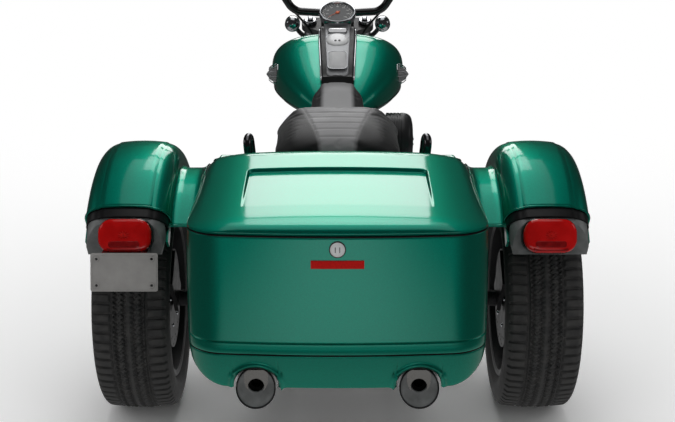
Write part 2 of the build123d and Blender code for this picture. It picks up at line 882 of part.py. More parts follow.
def dash_console(tank_body, gauge):
    """Raised spine on the tank: a round nacelle under the gauge and a long tapering cover."""
    spine = side_prism(
        [
            (gauge_y + 52, 880), (gauge_y + 56, 956), (gauge_y + 10, 1000), (gauge_y - 62, 968),
            (1010, 940), (880, 886), (820, 850), (816, 700), (1200, 700),
        ],
        console_half_width,
    )
    wide = console_half_width
    half_plan = polygon([(0, 780), (46, 780), (wide, 1030), (wide, 1300), (0, 1300)])
    plan = extrude(half_plan + mirror(half_plan, about=Plane.YZ), amount=1200)
    nacelle = gauge_frame().location * extrude(Circle(gauge_radius + 5), amount=-70)
    body = (spine & plan) + nacelle
    return body - tank_body - gauge


def gauge_frame():
    tilt = math.radians(gauge_tilt_deg)
    return Plane(
        origin=(0, gauge_y, gauge_z), x_dir=(1, 0, 0), z_dir=(0, -math.sin(tilt), math.cos(tilt))
    )


def speedometer():
    bezel = extrude(Circle(gauge_radius), amount=10)
    dial = extrude(Circle(gauge_radius - 7), amount=5)
    return gauge_frame().location * (bezel - Pos(0, 0, 5) * dial)


def tank_badges(tank_body):
    """Blank round medallion on each side of the tank."""
    badge_y, badge_z = 1010.0, 812.0
    drum = cross_bar(150, 256, badge_y, badge_z, 41)
    return both_sides(drum) - tank_body


seat_join_y = 352.0


def rider_seat(cutters):
    top = ThreePointArc((812, 852), (570, 728), (seat_join_y, 768))
    under = Polyline((seat_join_y, 768), (seat_join_y, 690), (690, 700), (812, 790), (812, 852))
    side = make_face(top + under)
    profile = extrude(Plane.YZ.offset(-260) * side, amount=520)
    half = [(0, 340), (168, 340), (186, 420), (168, 540), (112, 640), (94, 740), (60, 806), (0, 818)]
    face = polygon(half) + mirror(polygon(half), about=Plane.YZ)
    plan = extrude(face, amount=1000)
    body = profile & plan
    for cutter in cutters:
        body -= cutter
    return body


def passenger_seat(cutters):
    side = side_prism([(seat_join_y, deck_z), (seat_join_y, 842), (60, 806), (46, 796), (46, deck_z)], 260)
    right = [(0, deck_z), (196, deck_z), (200, 770), (186, 792), (140, 842), (0, 842)]
    outline = polygon(right)
    rear = extrude(Plane.XZ.offset(-400) * (outline + mirror(outline, about=Plane.YZ)), amount=500)
    body = side & rear
    for cutter in cutters:
        body -= cutter
    return body


def grab_rails():
    rail = bent_tube(
        [(262, 58, deck_z), (268, 62, 798), (262, 108, 803), (256, 112, deck_z)],
        12,
        21,
    )
    return both_sides(rail)


def side_covers():
    """Painted covers outside the seat rails, under the saddle."""
    outline = [(300, 470), (330, 600), (540, 668), (600, 640), (560, 500)]
    x_low = seat_rail_half_width + seat_rail_radius
    cover = extrude(Plane.YZ.offset(x_low) * fillet(polygon(outline).vertices(), 20), amount=14)
    return both_sides(cover)


def oil_cooler():
    """Finned cooler across the downtubes."""
    core = block((-95, 95), (1212, 1244), (300, 420))
    fin = block((-98, 98), (1208, 1248), (0, 3))
    lugs = [block((-122, 122), (1186, 1220), (z, z + 14)) for z in (320, 392)]
    body = core.fuse(*lugs)
    for index in range(8):
        body += Pos(0, 0, 306 + index * 14) * fin
    return body


def footboards(cutters):
    """Rider boards ahead of the engine and shorter passenger boards behind it, on stub arms."""
    body = None
    # columns: inner and outer X, rear and front Y, height, arm station, arm height at the frame
    table = [
        (232, 330, 925, 1190, 236, 1060, 158),
        (262, 345, 270, 420, 300, 372, 300),
    ]
    for x_in, x_out, y_low, y_high, z, arm_y, arm_z in table:
        board = fillet(block((x_in, x_out), (y_low, y_high), (z, z + 14)).edges().filter_by(Axis.Z), 18)
        arm = rod((136, arm_y, arm_z), (x_in + 30, arm_y, z + 4), 11)
        side = board + arm
        body = side if body is None else body + side
    body = both_sides(body)
    for cutter in cutters:
        body -= cutter
    return body


# Front end, modelled in the fork's frame unless said otherwise


def triple_clamps():
    stem = rod((0, -fork_offset, clamp_low), (0, -fork_offset, clamp_high + clamp_thickness), stem_radius)
    plate = make_hull(
        (Pos(0, -fork_offset) * Circle(40)).edges()
        + (Pos(fork_half_track, 0) * Circle(34)).edges()
        + (Pos(-fork_half_track, 0) * Circle(34)).edges()
    )
    low = Pos(0, 0, clamp_low) * extrude(plate, amount=clamp_thickness)
    high = Pos(0, 0, clamp_high) * extrude(plate, amount=clamp_thickness)
    return on_fork(stem + low + high)


def fork_legs(clamps):
    """Stanchions, lower legs and the axle between them."""
    leg = rod((fork_half_track, 0, -42), (fork_half_track, 0, fork_leg_top), fork_leg_radius)
    tube_top = clamp_high + clamp_thickness + 8
    tube = rod((fork_half_track, 0, fork_leg_top), (fork_half_track, 0, tube_top), fork_tube_radius)
    cover = rod((fork_half_track, 0, fork_leg_top + 30), (fork_half_track, 0, clamp_low - 4), 31)
    axle = cross_bar(-fork_half_track - 34, fork_half_track + 34, 0, 0, front_axle_radius)
    return on_fork(both_sides(leg + tube + cover) + axle) - clamps


riser_x = 46.0


def handlebar(clamps):
    """High bar: a short level centre, two uprights that lean out, and grips swept back."""
    half = [(0, bar_y, bar_z), (168, bar_y, bar_z + 10), (292, bar_y - 8, 1196), (430, bar_y - 170, 1184)]
    right = bent_tube(half, bar_radius, 62)
    bar = right + mirrored(right)
    for side in (-1, 1):
        x = side * riser_x
        foot = on_fork(Pos(x, -fork_offset - 6, clamp_high + clamp_thickness) * Box(1, 1, 1)).center()
        bar += rod((x, foot.Y, foot.Z), (x, bar_y, bar_z + 2), 17)
    return bar - clamps


grip_start = (322.0, bar_y - 44.6, 1193.0)
grip_end = (440.0, bar_y - 181.0, 1183.0)


def along_grip(share):
    return between(grip_start, grip_end, share)


def hand_controls(bar):
    """Grip, switch housing, master cylinder and lever on each end of the bar."""
    grip = rod(along_grip(0.22), along_grip(1.02), 19)
    housing = rod(along_grip(-0.02), along_grip(0.20), 26)
    lever_gap = (0, 84, 4)
    lever_in = tuple(a + b for a, b in zip(along_grip(0.02), lever_gap))
    lever_out = tuple(a + b for a, b in zip(along_grip(0.98), (22, 80, 2)))
    lever = rod(lever_in, lever_out, 6)
    mount = rod(along_grip(0.06), lever_in, 11)
    return both_sides(grip + housing + lever + mount) - bar


def mirrors(controls):
    """Round-cornered mirrors on short stems from the lever mounts."""
    foot = tuple(a + b for a, b in zip(along_grip(0.03), (0, 48, 8)))
    head = (foot[0] + 62, foot[1] - 20, 1192.0)
    stem = rod(foot, head, 5)
    plane = Plane(origin=head, x_dir=(1, 0.25, 0), z_dir=(0.25, -1, 0))
    shell = extrude(plane * RectangleRounded(96, 62, 26), amount=18, both=True)
    return both_sides(stem + shell) - controls


headlamp_y, headlamp_z = 1548.0, 872.0


def headlamp(cutters):
    shell = rod((0, headlamp_y - 96, headlamp_z), (0, headlamp_y, headlamp_z), 88)
    shell = fillet(shell.edges().filter_by(GeomType.CIRCLE).sort_by(Axis.Y)[:1], 40)
    rim = rod((0, headlamp_y, headlamp_z), (0, headlamp_y + 16, headlamp_z), 92)
    bracket = on_fork(block((-24, 24), (10, 112), (clamp_high - 34, clamp_high)))
    body = shell + rim + bracket
    for cutter in cutters:
        body -= cutter
    return body


def front_signals(legs):
    """Bullet lamps on stalks from the upper fork tubes."""
    centre = (176.0, 1408.0, 935.0)
    bullet = rod((centre[0], centre[1] - 34, centre[2]), (centre[0], centre[1] + 34, centre[2]), 29)
    stalk = rod((fork_half_track, 1385, 882), centre, 9)
    return both_sides(bullet + stalk) - legs


front_fender_radius = 350.0
front_fender_width = 148.0


def front_fender(legs):
    """Skirted fender over the front wheel, seated on lugs on the fork legs."""
    section = fender_section(front_fender_width, front_fender_radius, 286, 40)
    inside = fender_section(front_fender_width - 8, front_fender_radius - 4, 270, 37)
    shell = revolve(Rot(-34, 0, 0) * (Plane.XZ * (section - inside)), Axis.X, revolution_arc=34 + 92)
    lug = block((front_fender_width / 2 - 2, 92), (-14, 14), (288, 322))
    body = at_front_wheel(shell) + on_fork(both_sides(lug))
    return body - legs


def front_calipers(legs):
    """A calliper behind each front disc, on its leg."""
    inner_x = (front_disc_low - moving_gap - 8, front_disc_low - moving_gap)
    outer_x = (front_disc_high + moving_gap, fork_half_track)
    inner = block(inner_x, (-54, 54), (112, caliper_outer))
    outer = block(outer_x, (-54, 54), (104, caliper_outer))
    roof = block((inner_x[0], outer_x[1]), (-54, 54), (disc_radius + moving_gap, caliper_outer))
    grip = Rot(30, 0, 0) * (inner + outer + roof)
    return on_fork(both_sides(grip)) - legs


def build():
    """Every node by name, in an order in which each piece is cut by those it seats on."""
    nodes = {}
    nodes["frame"] = frame()
    nodes["engine_case"] = crankcase() - nodes["frame"]
    nodes["cylinders"] = cylinders(nodes["engine_case"])
    nodes["rocker_covers"] = rocker_covers()
    nodes["primary_cover"] = primary_cover()
    nodes["timing_cover"] = timing_cover(nodes["engine_case"], nodes["cylinders"])
    nodes["air_cleaner"] = air_cleaner(nodes["cylinders"], nodes["rocker_covers"]) - nodes["timing_cover"]
    nodes["swingarm"] = swingarm() - nodes["frame"]
    nodes["drive_belt"] = drive_belt() - nodes["swingarm"]
    nodes["shock_absorbers"] = shock_absorbers(nodes["frame"], nodes["swingarm"])
    nodes["rear_calipers"] = rear_calipers() - nodes["swingarm"]
    nodes["mufflers"] = mufflers()
    nodes["exhaust_pipes"] = exhaust_pipes(
        [nodes[n] for n in ("mufflers", "frame", "engine_case", "cylinders", "timing_cover", "swingarm")]
    )

    outer = trunk_form(0, 0)
    hollow = trunk_form(trunk_wall, trunk_wall)
    hollow_low = trunk_form(lid_thickness, trunk_wall)
    nodes["trunk_tub"] = trunk_tub(outer, hollow) - nodes["frame"]
    nodes["trunk_lid"] = trunk_lid(outer, hollow_low)
    nodes["rear_valance"] = rear_valance(outer, hollow) - nodes["frame"]
    right_fender = rear_fender(outer)
    nodes["rear_fender_right"] = right_fender
    nodes["rear_fender_left"] = mirrored(right_fender)
    nodes["lamp_panels"] = both_sides(lamp_panel(right_fender))
    nodes["tail_lamps"] = both_sides(tail_lamp())
    nodes["lamp_panels"] -= nodes["tail_lamps"]
    nodes["number_plate"] = number_plate()
    bracket = plate_bracket(nodes["lamp_panels"], nodes["number_plate"])
    nodes["plate_bracket"] = bracket - nodes["tail_lamps"]

    nodes["rider_seat"] = rider_seat([nodes["frame"]])
    gauge = speedometer()
    nodes["fuel_tank"] = tank([nodes["frame"], nodes["rocker_covers"], nodes["rider_seat"]])
    console = dash_console(nodes["fuel_tank"], gauge)
    nodes["dash_console"] = largest(console - nodes["rider_seat"] - nodes["frame"])
    nodes["speedometer"] = gauge
    nodes["tank_badges"] = tank_badges(nodes["fuel_tank"])
    nodes["passenger_seat"] = passenger_seat([nodes["frame"], nodes["trunk_tub"], nodes["rider_seat"]])
    nodes["grab_rails"] = grab_rails() - nodes["trunk_tub"]
    nodes["side_covers"] = side_covers()
    nodes["oil_cooler"] = oil_cooler() - nodes["frame"]
    nodes["footboards"] = footboards([nodes["frame"], nodes["exhaust_pipes"]])

    nodes["triple_clamps"] = triple_clamps()
    nodes["fork_legs"] = fork_legs(nodes["triple_clamps"])
    nodes["handlebar"] = handlebar(nodes["triple_clamps"])
    nodes["hand_controls"] = hand_controls(nodes["handlebar"])
    nodes["mirrors"] = mirrors(nodes["hand_controls"]) - nodes["handlebar"]
    nodes["headlamp"] = headlamp([nodes["triple_clamps"], nodes["fork_legs"]])
    nodes["front_signals"] = front_signals(nodes["fork_legs"])
    nodes["front_fender"] = front_fender(nodes["fork_legs"])
    nodes["front_calipers"] = front_calipers(nodes["fork_legs"])

    nodes["front_tyre"] = at_front_wheel(tyre(front_tyre_width, front_tyre_radius, front_rim_radius))
    nodes["front_wheel"] = at_front_wheel(front_wheel())
    nodes["rear_tyre_right"] = at_rear_wheel(tyre(rear_tyre_width, rear_tyre_radius, rear_rim_radius))
    nodes["rear_wheel_right"] = at_rear_wheel(rear_wheel())
    nodes["rear_tyre_left"] = mirrored(nodes["rear_tyre_right"])
    nodes["rear_wheel_left"] = mirrored(nodes["rear_wheel_right"])
    return nodes


os.makedirs("parts", exist_ok=True)
for node_name, node_shape in build().items():
    placed = Pos(0, row_shift, 0) * node_shape
    solids = placed.solids()
    export_step(Compound(children=list(solids)), f"parts/{node_name}.step")
    print(node_name, len(solids))
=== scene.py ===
import math

import bmesh
import bpy
import numpy as np
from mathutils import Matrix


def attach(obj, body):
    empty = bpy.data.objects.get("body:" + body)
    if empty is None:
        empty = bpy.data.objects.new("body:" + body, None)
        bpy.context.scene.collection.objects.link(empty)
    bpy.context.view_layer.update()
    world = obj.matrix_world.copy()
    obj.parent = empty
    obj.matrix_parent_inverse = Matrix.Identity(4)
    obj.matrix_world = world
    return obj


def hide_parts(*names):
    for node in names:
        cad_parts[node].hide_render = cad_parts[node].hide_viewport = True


# A three-wheeled touring motorcycle with a lidded rear trunk.
# Lengths here are millimetres in the vehicle's own sense: X to the right, Y forward
# from the rear axle, Z up from the ground. metres() moves them to the frame's origin.

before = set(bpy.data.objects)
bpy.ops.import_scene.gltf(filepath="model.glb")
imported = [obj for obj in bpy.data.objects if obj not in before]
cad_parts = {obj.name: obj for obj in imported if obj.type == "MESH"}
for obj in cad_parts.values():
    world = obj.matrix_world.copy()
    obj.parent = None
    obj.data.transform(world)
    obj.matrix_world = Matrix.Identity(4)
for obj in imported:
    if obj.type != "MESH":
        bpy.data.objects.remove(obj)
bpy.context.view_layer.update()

ROW_SHIFT = -664.5
AXLE_Z = 325.0

# The photograph's camera: behind the trike and above the trunk, looking forward and down.
CAMERA_PLACE = (0.0, -4.3235, 1.717)
CAMERA_DOWN_DEG = 17.0
CAMERA_LENS_MM = 69.12


# Shapes


def metres(points):
    """Millimetres from the rear axle to metres from the vehicle's own origin."""
    return (np.asarray(points, float) + (0.0, ROW_SHIFT, 0.0)) / 1000.0


def unit(vectors):
    """Each vector divided by its own length."""
    vectors = np.asarray(vectors, float)
    return vectors / np.maximum(np.linalg.norm(vectors, axis=-1, keepdims=True), 1e-12)


def ease(value):
    """0 below 0, 1 above 1, and 3t^2 - 2t^3 between."""
    t = np.clip(value, 0.0, 1.0)
    return t * t * (3.0 - 2.0 * t)


def quads(rows, columns, wrap_rows, wrap_columns):
    """Four-cornered faces between neighbours of a grid; a wrapped side joins its last line to its first."""
    r = np.arange(rows if wrap_rows else rows - 1)
    c = np.arange(columns if wrap_columns else columns - 1)
    r, c = np.meshgrid(r, c, indexing="ij")
    r2, c2 = (r + 1) % rows, (c + 1) % columns
    corners = np.stack([r * columns + c, r * columns + c2, r2 * columns + c2, r2 * columns + c], axis=-1)
    return corners.reshape(-1, 4)


def piece(name, grids, body, coating, slot, hides=(), outward_from=None, crease_deg=38.0, wall=0.0):
    """One object from grids of points (rows by columns by 3) that wrap across their columns,
    or (grid, wraps down, wraps across). Doubles are merged, so poles and seams close."""
    points, faces, start = [], [], 0
    for grid in grids:
        grid, down, across = grid if isinstance(grid, tuple) else (grid, False, True)
        rows, columns = grid.shape[:2]
        points.append(grid.reshape(-1, 3))
        faces.append(quads(rows, columns, down, across) + start)
        start += rows * columns
    points, faces = metres(np.concatenate(points)), np.concatenate(faces)
    mesh = bpy.data.meshes.new(name)
    mesh.vertices.add(len(points))
    mesh.vertices.foreach_set("co", points.ravel())
    mesh.loops.add(faces.size)
    mesh.loops.foreach_set("vertex_index", faces.ravel())
    mesh.polygons.add(len(faces))
    mesh.polygons.foreach_set("loop_start", np.arange(0, faces.size, 4))
    mesh.update(calc_edges=True)
    tidy = bmesh.new()
    tidy.from_mesh(mesh)
    bmesh.ops.remove_doubles(tidy, verts=tidy.verts, dist=3e-6)
    bmesh.ops.recalc_face_normals(tidy, faces=tidy.faces)
    tidy.to_mesh(mesh)
    tidy.free()
    if outward_from is not None:
        face_outward(mesh, metres(outward_from))
    return finished(name, mesh, body, coating, hides, crease_deg, wall)


def coordinates(mesh):
    """The mesh's points as rows of X, Y and Z."""
    flat = np.empty(len(mesh.vertices) * 3)
    mesh.vertices.foreach_get("co", flat)
    return flat.reshape(-1, 3)


def set_points(mesh, points):
    """Moves the mesh's points, in metres, to new places."""
    mesh.vertices.foreach_set("co", np.asarray(points, float).ravel())
    mesh.update()


def face_outward(mesh, inside):
    """Turns an open sheet's faces round if most of them look towards the point inside."""
    count = len(mesh.polygons)
    centre, normal, area = np.empty(count * 3), np.empty(count * 3), np.empty(count)
    mesh.polygons.foreach_get("center", centre)
    mesh.polygons.foreach_get("normal", normal)
    mesh.polygons.foreach_get("area", area)
    away = ((centre.reshape(-1, 3) - inside) * normal.reshape(-1, 3)).sum(axis=1)
    if (away * area).sum() < 0:
        mesh.flip_normals()


def finished(name, mesh, body, coating, hides=(), crease_deg=38.0, wall=0.0):
    """The mesh as an object with its finish, its wall thickness and the body it moves with."""
    mesh.materials.append(coating)
    mesh.shade_smooth()
    mesh.set_sharp_from_angle(angle=math.radians(crease_deg))
    made = bpy.data.objects.new(name, mesh)
    bpy.context.scene.collection.objects.link(made)
    if wall:
        thick = made.modifiers.new("wall", "SOLIDIFY")
        thick.thickness = wall / 1000.0
        thick.offset = -1.0
    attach(made, body)
    if hides:
        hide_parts(*hides)
    return made


def mirrored(grid):
    """The same grid on the other side of the vehicle."""
    if isinstance(grid, tuple):
        return (mirrored(grid[0]),) + grid[1:]
    return grid * (-1.0, 1.0, 1.0)


SIDES = ((1, "right"), (-1, "left"))


def on_side(grid, side):
    """A grid of the right side, or its mirror image for side -1."""
    return grid if side > 0 else mirrored(grid)


def both(grids):
    """The grids and their mirror images."""
    return list(grids) + [mirrored(grid) for grid in grids]


def rounded(points, radius, steps=6, closed=False):
    """A polyline whose corners are circular arcs: each arc leaves the corner's two legs at
    r / tan(half angle)."""
    p = np.asarray(points, float)
    middle = p if closed else p[1:-1]
    before = np.roll(p, 1, axis=0) if closed else p[:-2]
    after = np.roll(p, -1, axis=0) if closed else p[2:]
    a, b = unit(before - middle), unit(after - middle)
    half = 0.5 * np.arccos(np.clip((a * b).sum(axis=-1), -0.999999, 0.999999))
    legs = np.minimum(np.linalg.norm(before - middle, axis=-1), np.linalg.norm(after - middle, axis=-1))
    r = np.minimum(radius, 0.49 * legs * np.tan(half))
    centre = middle + unit(a + b) * (r / np.sin(half))[:, None]
    first = middle + a * (r / np.tan(half))[:, None] - centre
    last = middle + b * (r / np.tan(half))[:, None] - centre
    turn = (np.pi - 2.0 * half)[:, None, None]
    t = np.linspace(0.0, 1.0, steps + 1)[None, :, None]
    arc = (np.sin((1.0 - t) * turn) * first[:, None] + np.sin(t * turn) * last[:, None]) / np.sin(turn)
    arc = (arc + centre[:, None]).reshape(-1, p.shape[1])
    return arc if closed else np.concatenate([p[:1], arc, p[-1:]])


def smooth_line(points, steps=8):
    """A line through all the points: each span is a cubic whose end slopes are half the chord of its
    neighbours."""
    p = np.asarray(points, float)
    p = np.concatenate([2 * p[:1] - p[1:2], p, 2 * p[-1:] - p[-2:-1]])
    a, b, c, d = p[:-3], p[1:-2], p[2:-1], p[3:]
    t = np.linspace(0.0, 1.0, steps, endpoint=False)[None, :, None]
    a, b, c, d = a[:, None], b[:, None], c[:, None], d[:, None]
    curve = 0.5 * (2 * b + (c - a) * t + (2 * a - 5 * b + 4 * c - d) * t**2 + (3 * b - a - 3 * c + d) * t**3)
    return np.concatenate([curve.reshape(-1, p.shape[1]), p[-2:-1]])


def evenly(path, step):
    """Points along a path about step apart, its ends kept."""
    path = np.asarray(path, float)
    run = np.concatenate([[0.0], np.cumsum(np.linalg.norm(np.diff(path, axis=0), axis=1))])
    wanted = np.linspace(0.0, run[-1], max(int(round(run[-1] / step)), 2) + 1)
    return np.stack([np.interp(wanted, run, path[:, k]) for k in range(path.shape[1])], axis=1)


def frames(path):
    """Side and up vectors along a path, from the coordinate axis that the path follows least."""
    tangent = unit(np.gradient(np.asarray(path, float), axis=0))
    least = np.eye(3)[np.argmin(np.abs(tangent).max(axis=0))]
    side = unit(np.cross(tangent, least))
    return side, np.cross(side, tangent)


def full_turn(count):
    """Angles evenly round a circle, starting at 0."""
    return np.linspace(0.0, 2 * np.pi, count, endpoint=False)


def circle_points(centre, radius, angles):
    """Points round a centre in the plane of Y and Z, one for each angle from straight ahead upwards."""
    a = np.asarray(angles, float)
    return np.asarray(centre, float) + radius * np.stack([0 * a, np.cos(a), np.sin(a)], axis=-1)


def read_curve(table, at, steps=8):
    """The second column of a table at values of its first, on a smooth line through its rows."""
    return np.interp(at, *smooth_line(table, steps).T)


def along_y(x, y, z):
    """Points from rows of X and Z, with one Y for each row."""
    return np.stack([x, np.broadcast_to(y[:, None], x.shape), z], axis=-1)


def tube(path, radius, sides=16, flat=1.0):
    """Rings of a radius, or of one radius for each point, square to the path, with both ends closed."""
    path = np.asarray(path, float)
    side, up = frames(path)
    angle = full_turn(sides)[None, :, None]
    radius = np.broadcast_to(radius, (len(path),))[:, None, None]
    rings = path[:, None] + radius * (np.cos(angle) * side[:, None] + flat * np.sin(angle) * up[:, None])
    return np.concatenate([np.repeat(path[:1, None], sides, 1), rings, np.repeat(path[-1:, None], sides, 1)])


def lathe(profile, start, along, sides=48):
    """A profile of (distance along the axis, radius) pairs turned about a line."""
    profile = np.asarray(profile, float)
    axis = unit(along)
    side = unit(np.cross(axis, np.eye(3)[np.argmin(np.abs(axis))]))
    up = np.cross(side, axis)
    angle = full_turn(sides)[:, None]
    ring = np.cos(angle) * side + np.sin(angle) * up
    return np.asarray(start, float) + profile[:, 0, None, None] * axis + profile[:, 1, None, None] * ring


def outline_rows(outline, levels, centre, u, v):
    """A flat outline (points by 2) repeated at levels of (scale, height), in the plane of u and v."""
    u, v = unit(u), unit(v)
    outline, levels = np.asarray(outline, float), np.asarray(levels, float)
    flat = outline[:, :1] * u + outline[:, 1:] * v
    scale, height = levels[:, 0, None, None], levels[:, 1, None, None]
    return np.asarray(centre, float) + scale * flat + height * np.cross(u, v)


def slab(centre, u, v, half_u, half_v, corner, thickness, edge=1.0, crown=0.0, steps=6):
    """Rounded rectangular plate: its outline shrinks by the edge radius as it meets either face,
    and the top face rises by crown * (1 - scale^2) to the middle."""
    base = np.asarray([(half_u, -half_v), (half_u, half_v), (-half_u, half_v), (-half_u, -half_v)], float)
    outline = rounded(base, corner, steps, closed=True)
    small = 1.0 - edge / min(half_u, half_v)
    rows = [(0.0, 0.0), (small, 0.0), ((1 + 2 * small) / 3, edge * 0.13), ((2 + small) / 3, edge * 0.5),
            (1.0, edge)]
    top = thickness
    rows += [(1.0, top - edge), ((2 + small) / 3, top - edge * 0.5), ((1 + 2 * small) / 3, top - edge * 0.13)]
    inner = np.linspace(small, 0.0, 7 if crown else 2)
    rows += [(s, top + crown * (1 - (s / small) ** 2)) for s in inner]
    return outline_rows(outline, rows, centre, u, v)


def bowed_end(half, bulge, corner, counts, straight):
    """Right half of a bowed end: a parabola of the given bulge from the middle, a corner arc, and a side
    that runs on for straight. Returned as (x, depth behind the foremost point)."""
    x_join = half - corner
    slope = math.atan(2 * bulge * x_join / half**2)
    x_end = x_join + corner * math.sin(slope)
    x = np.linspace(0.0, x_end, counts[0])
    bow = np.stack([x, bulge * (x / half) ** 2], axis=1)
    centre_depth = bulge * (x_end / half) ** 2 + corner * math.cos(slope)
    angle = np.linspace(slope, np.pi / 2, counts[1] + 1)[1:]
    arc = np.stack([x_join + corner * np.sin(angle), centre_depth - corner * np.cos(angle)], axis=1)
    depth = np.linspace(centre_depth, straight, counts[2] + 1)[1:]
    side = np.stack([np.full(len(depth), half), depth], axis=1)
    return np.concatenate([bow, arc, side])


def bolt_heads(places, along, radius=5.0, height=4.0):
    """Button heads: a low dome on a short rim, with a round socket."""
    profile = [(0, 0), (0, radius), (height * 0.35, radius), (height * 0.8, radius * 0.8),
               (height, radius * 0.5)]
    profile += [(height, radius * 0.42), (height * 0.4, radius * 0.4), (height * 0.4, 0)]
    return [lathe(profile, place, along, 14) for place in places]


def hex_heads(places, along, across=10.0, height=6.0):
    """Six-sided heads on a washer."""
    r = across / math.sqrt(3)
    grids = []
    for place in places:
        grids.append(lathe([(0, 0), (0, r * 1.35), (1.5, r * 1.35), (1.5, 0)], place, along, 16))
        nut = [(1.5, 0), (1.5, r), (height * 0.85, r), (height, r * 0.82), (height, 0)]
        grids.append(lathe(nut, place, along, 6))
    return grids


# Finishes


def linear(code):
    """An sRGB hex colour as linear light: c / 12.92 below 0.04045, else ((c + 0.055) / 1.055) ^ 2.4."""
    parts = [int(code[k:k + 2], 16) / 255 for k in (0, 2, 4)]
    return tuple(c / 12.92 if c <= 0.04045 else ((c + 0.055) / 1.055) ** 2.4 for c in parts) + (1.0,)


def add(tree, kind, links=(), **settings):
    """Adds a node. links holds (input, value), where a value that is a socket is linked."""
    made = tree.nodes.new("ShaderNode" + kind)
    for name, value in settings.items():
        setattr(made, name, value)
    for name, value in links:
        socket = made.inputs[name]
        if isinstance(value, bpy.types.NodeSocket):
            tree.links.new(value, socket)
        else:
            socket.default_value = value
    return made


def calc(tree, operation, *values):
    """One step of arithmetic on numbers or sockets, as a socket."""
    return add(tree, "Math", list(enumerate(values)), operation=operation).outputs[0]


def per_mm(size):
    """A pattern's scale in object space, in metres, for features of a size in millimetres."""
    return 1000.0 / size


def ramp(tree, value, stops):
    """A colour or grey read from a value by stops of (position, hex colour)."""
    made = add(tree, "ValToRGB", [("Fac", value)])
    for _ in range(len(stops) - 2):
        made.color_ramp.elements.new(0.5)
    for element, (position, code) in zip(made.color_ramp.elements, stops):
        element.position = position
        element.color = linear(code)
    return made.outputs["Color"]


def finish(name, colours, metallic, rough, mottle_mm, grain=None, **fixed):
    """A surface that drifts between two colours and two roughness values over mottle_mm.
    grain is (kind, size in mm, height in mm): noise, cells, or lines along X, Y or Z."""
    made = bpy.data.materials.new(name)
    made.use_nodes = True
    tree = made.node_tree
    shader = tree.nodes["Principled BSDF"]
    shader.inputs["Metallic"].default_value = metallic
    for socket, value in fixed.items():
        shader.inputs[socket.replace("_", " ")].default_value = value
    place = add(tree, "TexCoord").outputs["Object"]
    drift = add(tree, "TexNoise", [("Vector", place), ("Scale", per_mm(mottle_mm)), ("Detail", 4.0)])
    drift = drift.outputs["Fac"]
    tree.links.new(ramp(tree, drift, [(0.3, colours[0]), (0.7, colours[1])]), shader.inputs["Base Color"])
    span = add(tree, "MapRange", [("Value", drift), ("From Min", 0.3), ("From Max", 0.7),
                                  ("To Min", rough[0]), ("To Max", rough[1])])
    tree.links.new(span.outputs["Result"], shader.inputs["Roughness"])
    if grain:
        kind, size, height = grain
        if kind == "noise":
            relief = add(tree, "TexNoise", [("Vector", place), ("Scale", per_mm(size)), ("Detail", 3.0)])
            relief = relief.outputs["Fac"]
        elif kind == "cells":
            relief = add(tree, "TexVoronoi", [("Vector", place), ("Scale", per_mm(size))]).outputs["Distance"]
        else:
            stretch = {"x": (0.02, 1, 1), "y": (1, 0.02, 1), "z": (1, 1, 0.02)}[kind]
            moved = add(tree, "Mapping", [("Vector", place), ("Scale", stretch)]).outputs["Vector"]
            relief = add(tree, "TexNoise", [("Vector", moved), ("Scale", per_mm(size)), ("Detail", 2.0)])
            relief = relief.outputs["Fac"]
        bump = add(tree, "Bump", [("Height", relief), ("Distance", height / 1000.0), ("Strength", 1.0)])
        tree.links.new(bump.outputs["Normal"], shader.inputs["Normal"])
    return made


# Emerald basecoat with fine metal flake under two coats of clear lacquer: deep green that turns
# pale where it mirrors the light, with a faint orange-peel ripple.
PAINT = finish("emerald_metallic_lacquer", ("00A78C", "00B79A"), 0.94, (0.40, 0.44), 3.0,
               ("noise", 14.0, 0.012), Coat_Weight=1.0, Coat_Roughness=0.09, Coat_IOR=1.43,
               Specular_Tint=linear("1E8C78"))
# Powder coat over steel: even gloss black with slight ripple.
POWDER_BLACK = finish("gloss_black_powder_coat", ("0B0B0C", "121213"), 0.0, (0.16, 0.26), 40.0,
                      ("noise", 5.0, 0.02), Coat_Weight=0.5, Coat_Roughness=0.08)
# Wrinkle paint on cast aluminium: fine cells that scatter the light.
WRINKLE_BLACK = finish("wrinkle_black_cast_aluminium", ("1D1D1F", "2B2B2D"), 0.1, (0.45, 0.6), 30.0,
                       ("cells", 1.6, 0.25))
# Machined fin edges and cover faces, bare aluminium with cutter lines.
MACHINED = finish("machined_bare_aluminium", ("A6A8AB", "BFC1C4"), 1.0, (0.24, 0.36), 18.0, ("x", 0.8, 0.02))
# Satin black covers: smooth paint with a soft sheen.
SATIN_BLACK = finish("satin_black_cover_paint", ("1B1B1D", "252527"), 0.0, (0.34, 0.44), 35.0,
                     ("noise", 2.0, 0.02), Coat_Weight=0.15, Coat_Roughness=0.3)
# Polished chrome with faint wiping marks.
CHROME = finish("polished_chrome_plate", ("C9CCD0", "D4D6D9"), 1.0, (0.05, 0.11), 45.0, ("noise", 30.0, 0.01))
# Smoked satin chrome of the exhaust, brushed along its pipes: a grey, blurred mirror.
SMOKED_CHROME = finish("smoked_satin_chrome", ("6F6E6D", "85837F"), 1.0, (0.22, 0.32), 60.0, ("y", 1.0, 0.02))
# Satin silver plate of the dash console, brushed upright.
SILVER_SATIN = finish("satin_silver_console_plate", ("8C8D8F", "9A9B9D"), 0.6, (0.34, 0.42), 50.0,
                      ("z", 0.7, 0.015))
# Brushed grey skin of the lamp panels and the muffler tips.
PANEL_GREY = finish("brushed_grey_lamp_panel", ("747676", "8A8C8C"), 0.35, (0.34, 0.46), 25.0,
                    ("x", 0.9, 0.03))
# Soot inside the outlets, and painted shade for the drilled holes of the brake discs: black dots where a
# hole's inside would be dark.
SOOT_AND_HOLE_SHADE = finish("exhaust_soot_and_painted_hole_shade", ("060606", "101010"), 0.0, (0.85, 0.95), 6.0, ("noise", 0.8, 0.05))
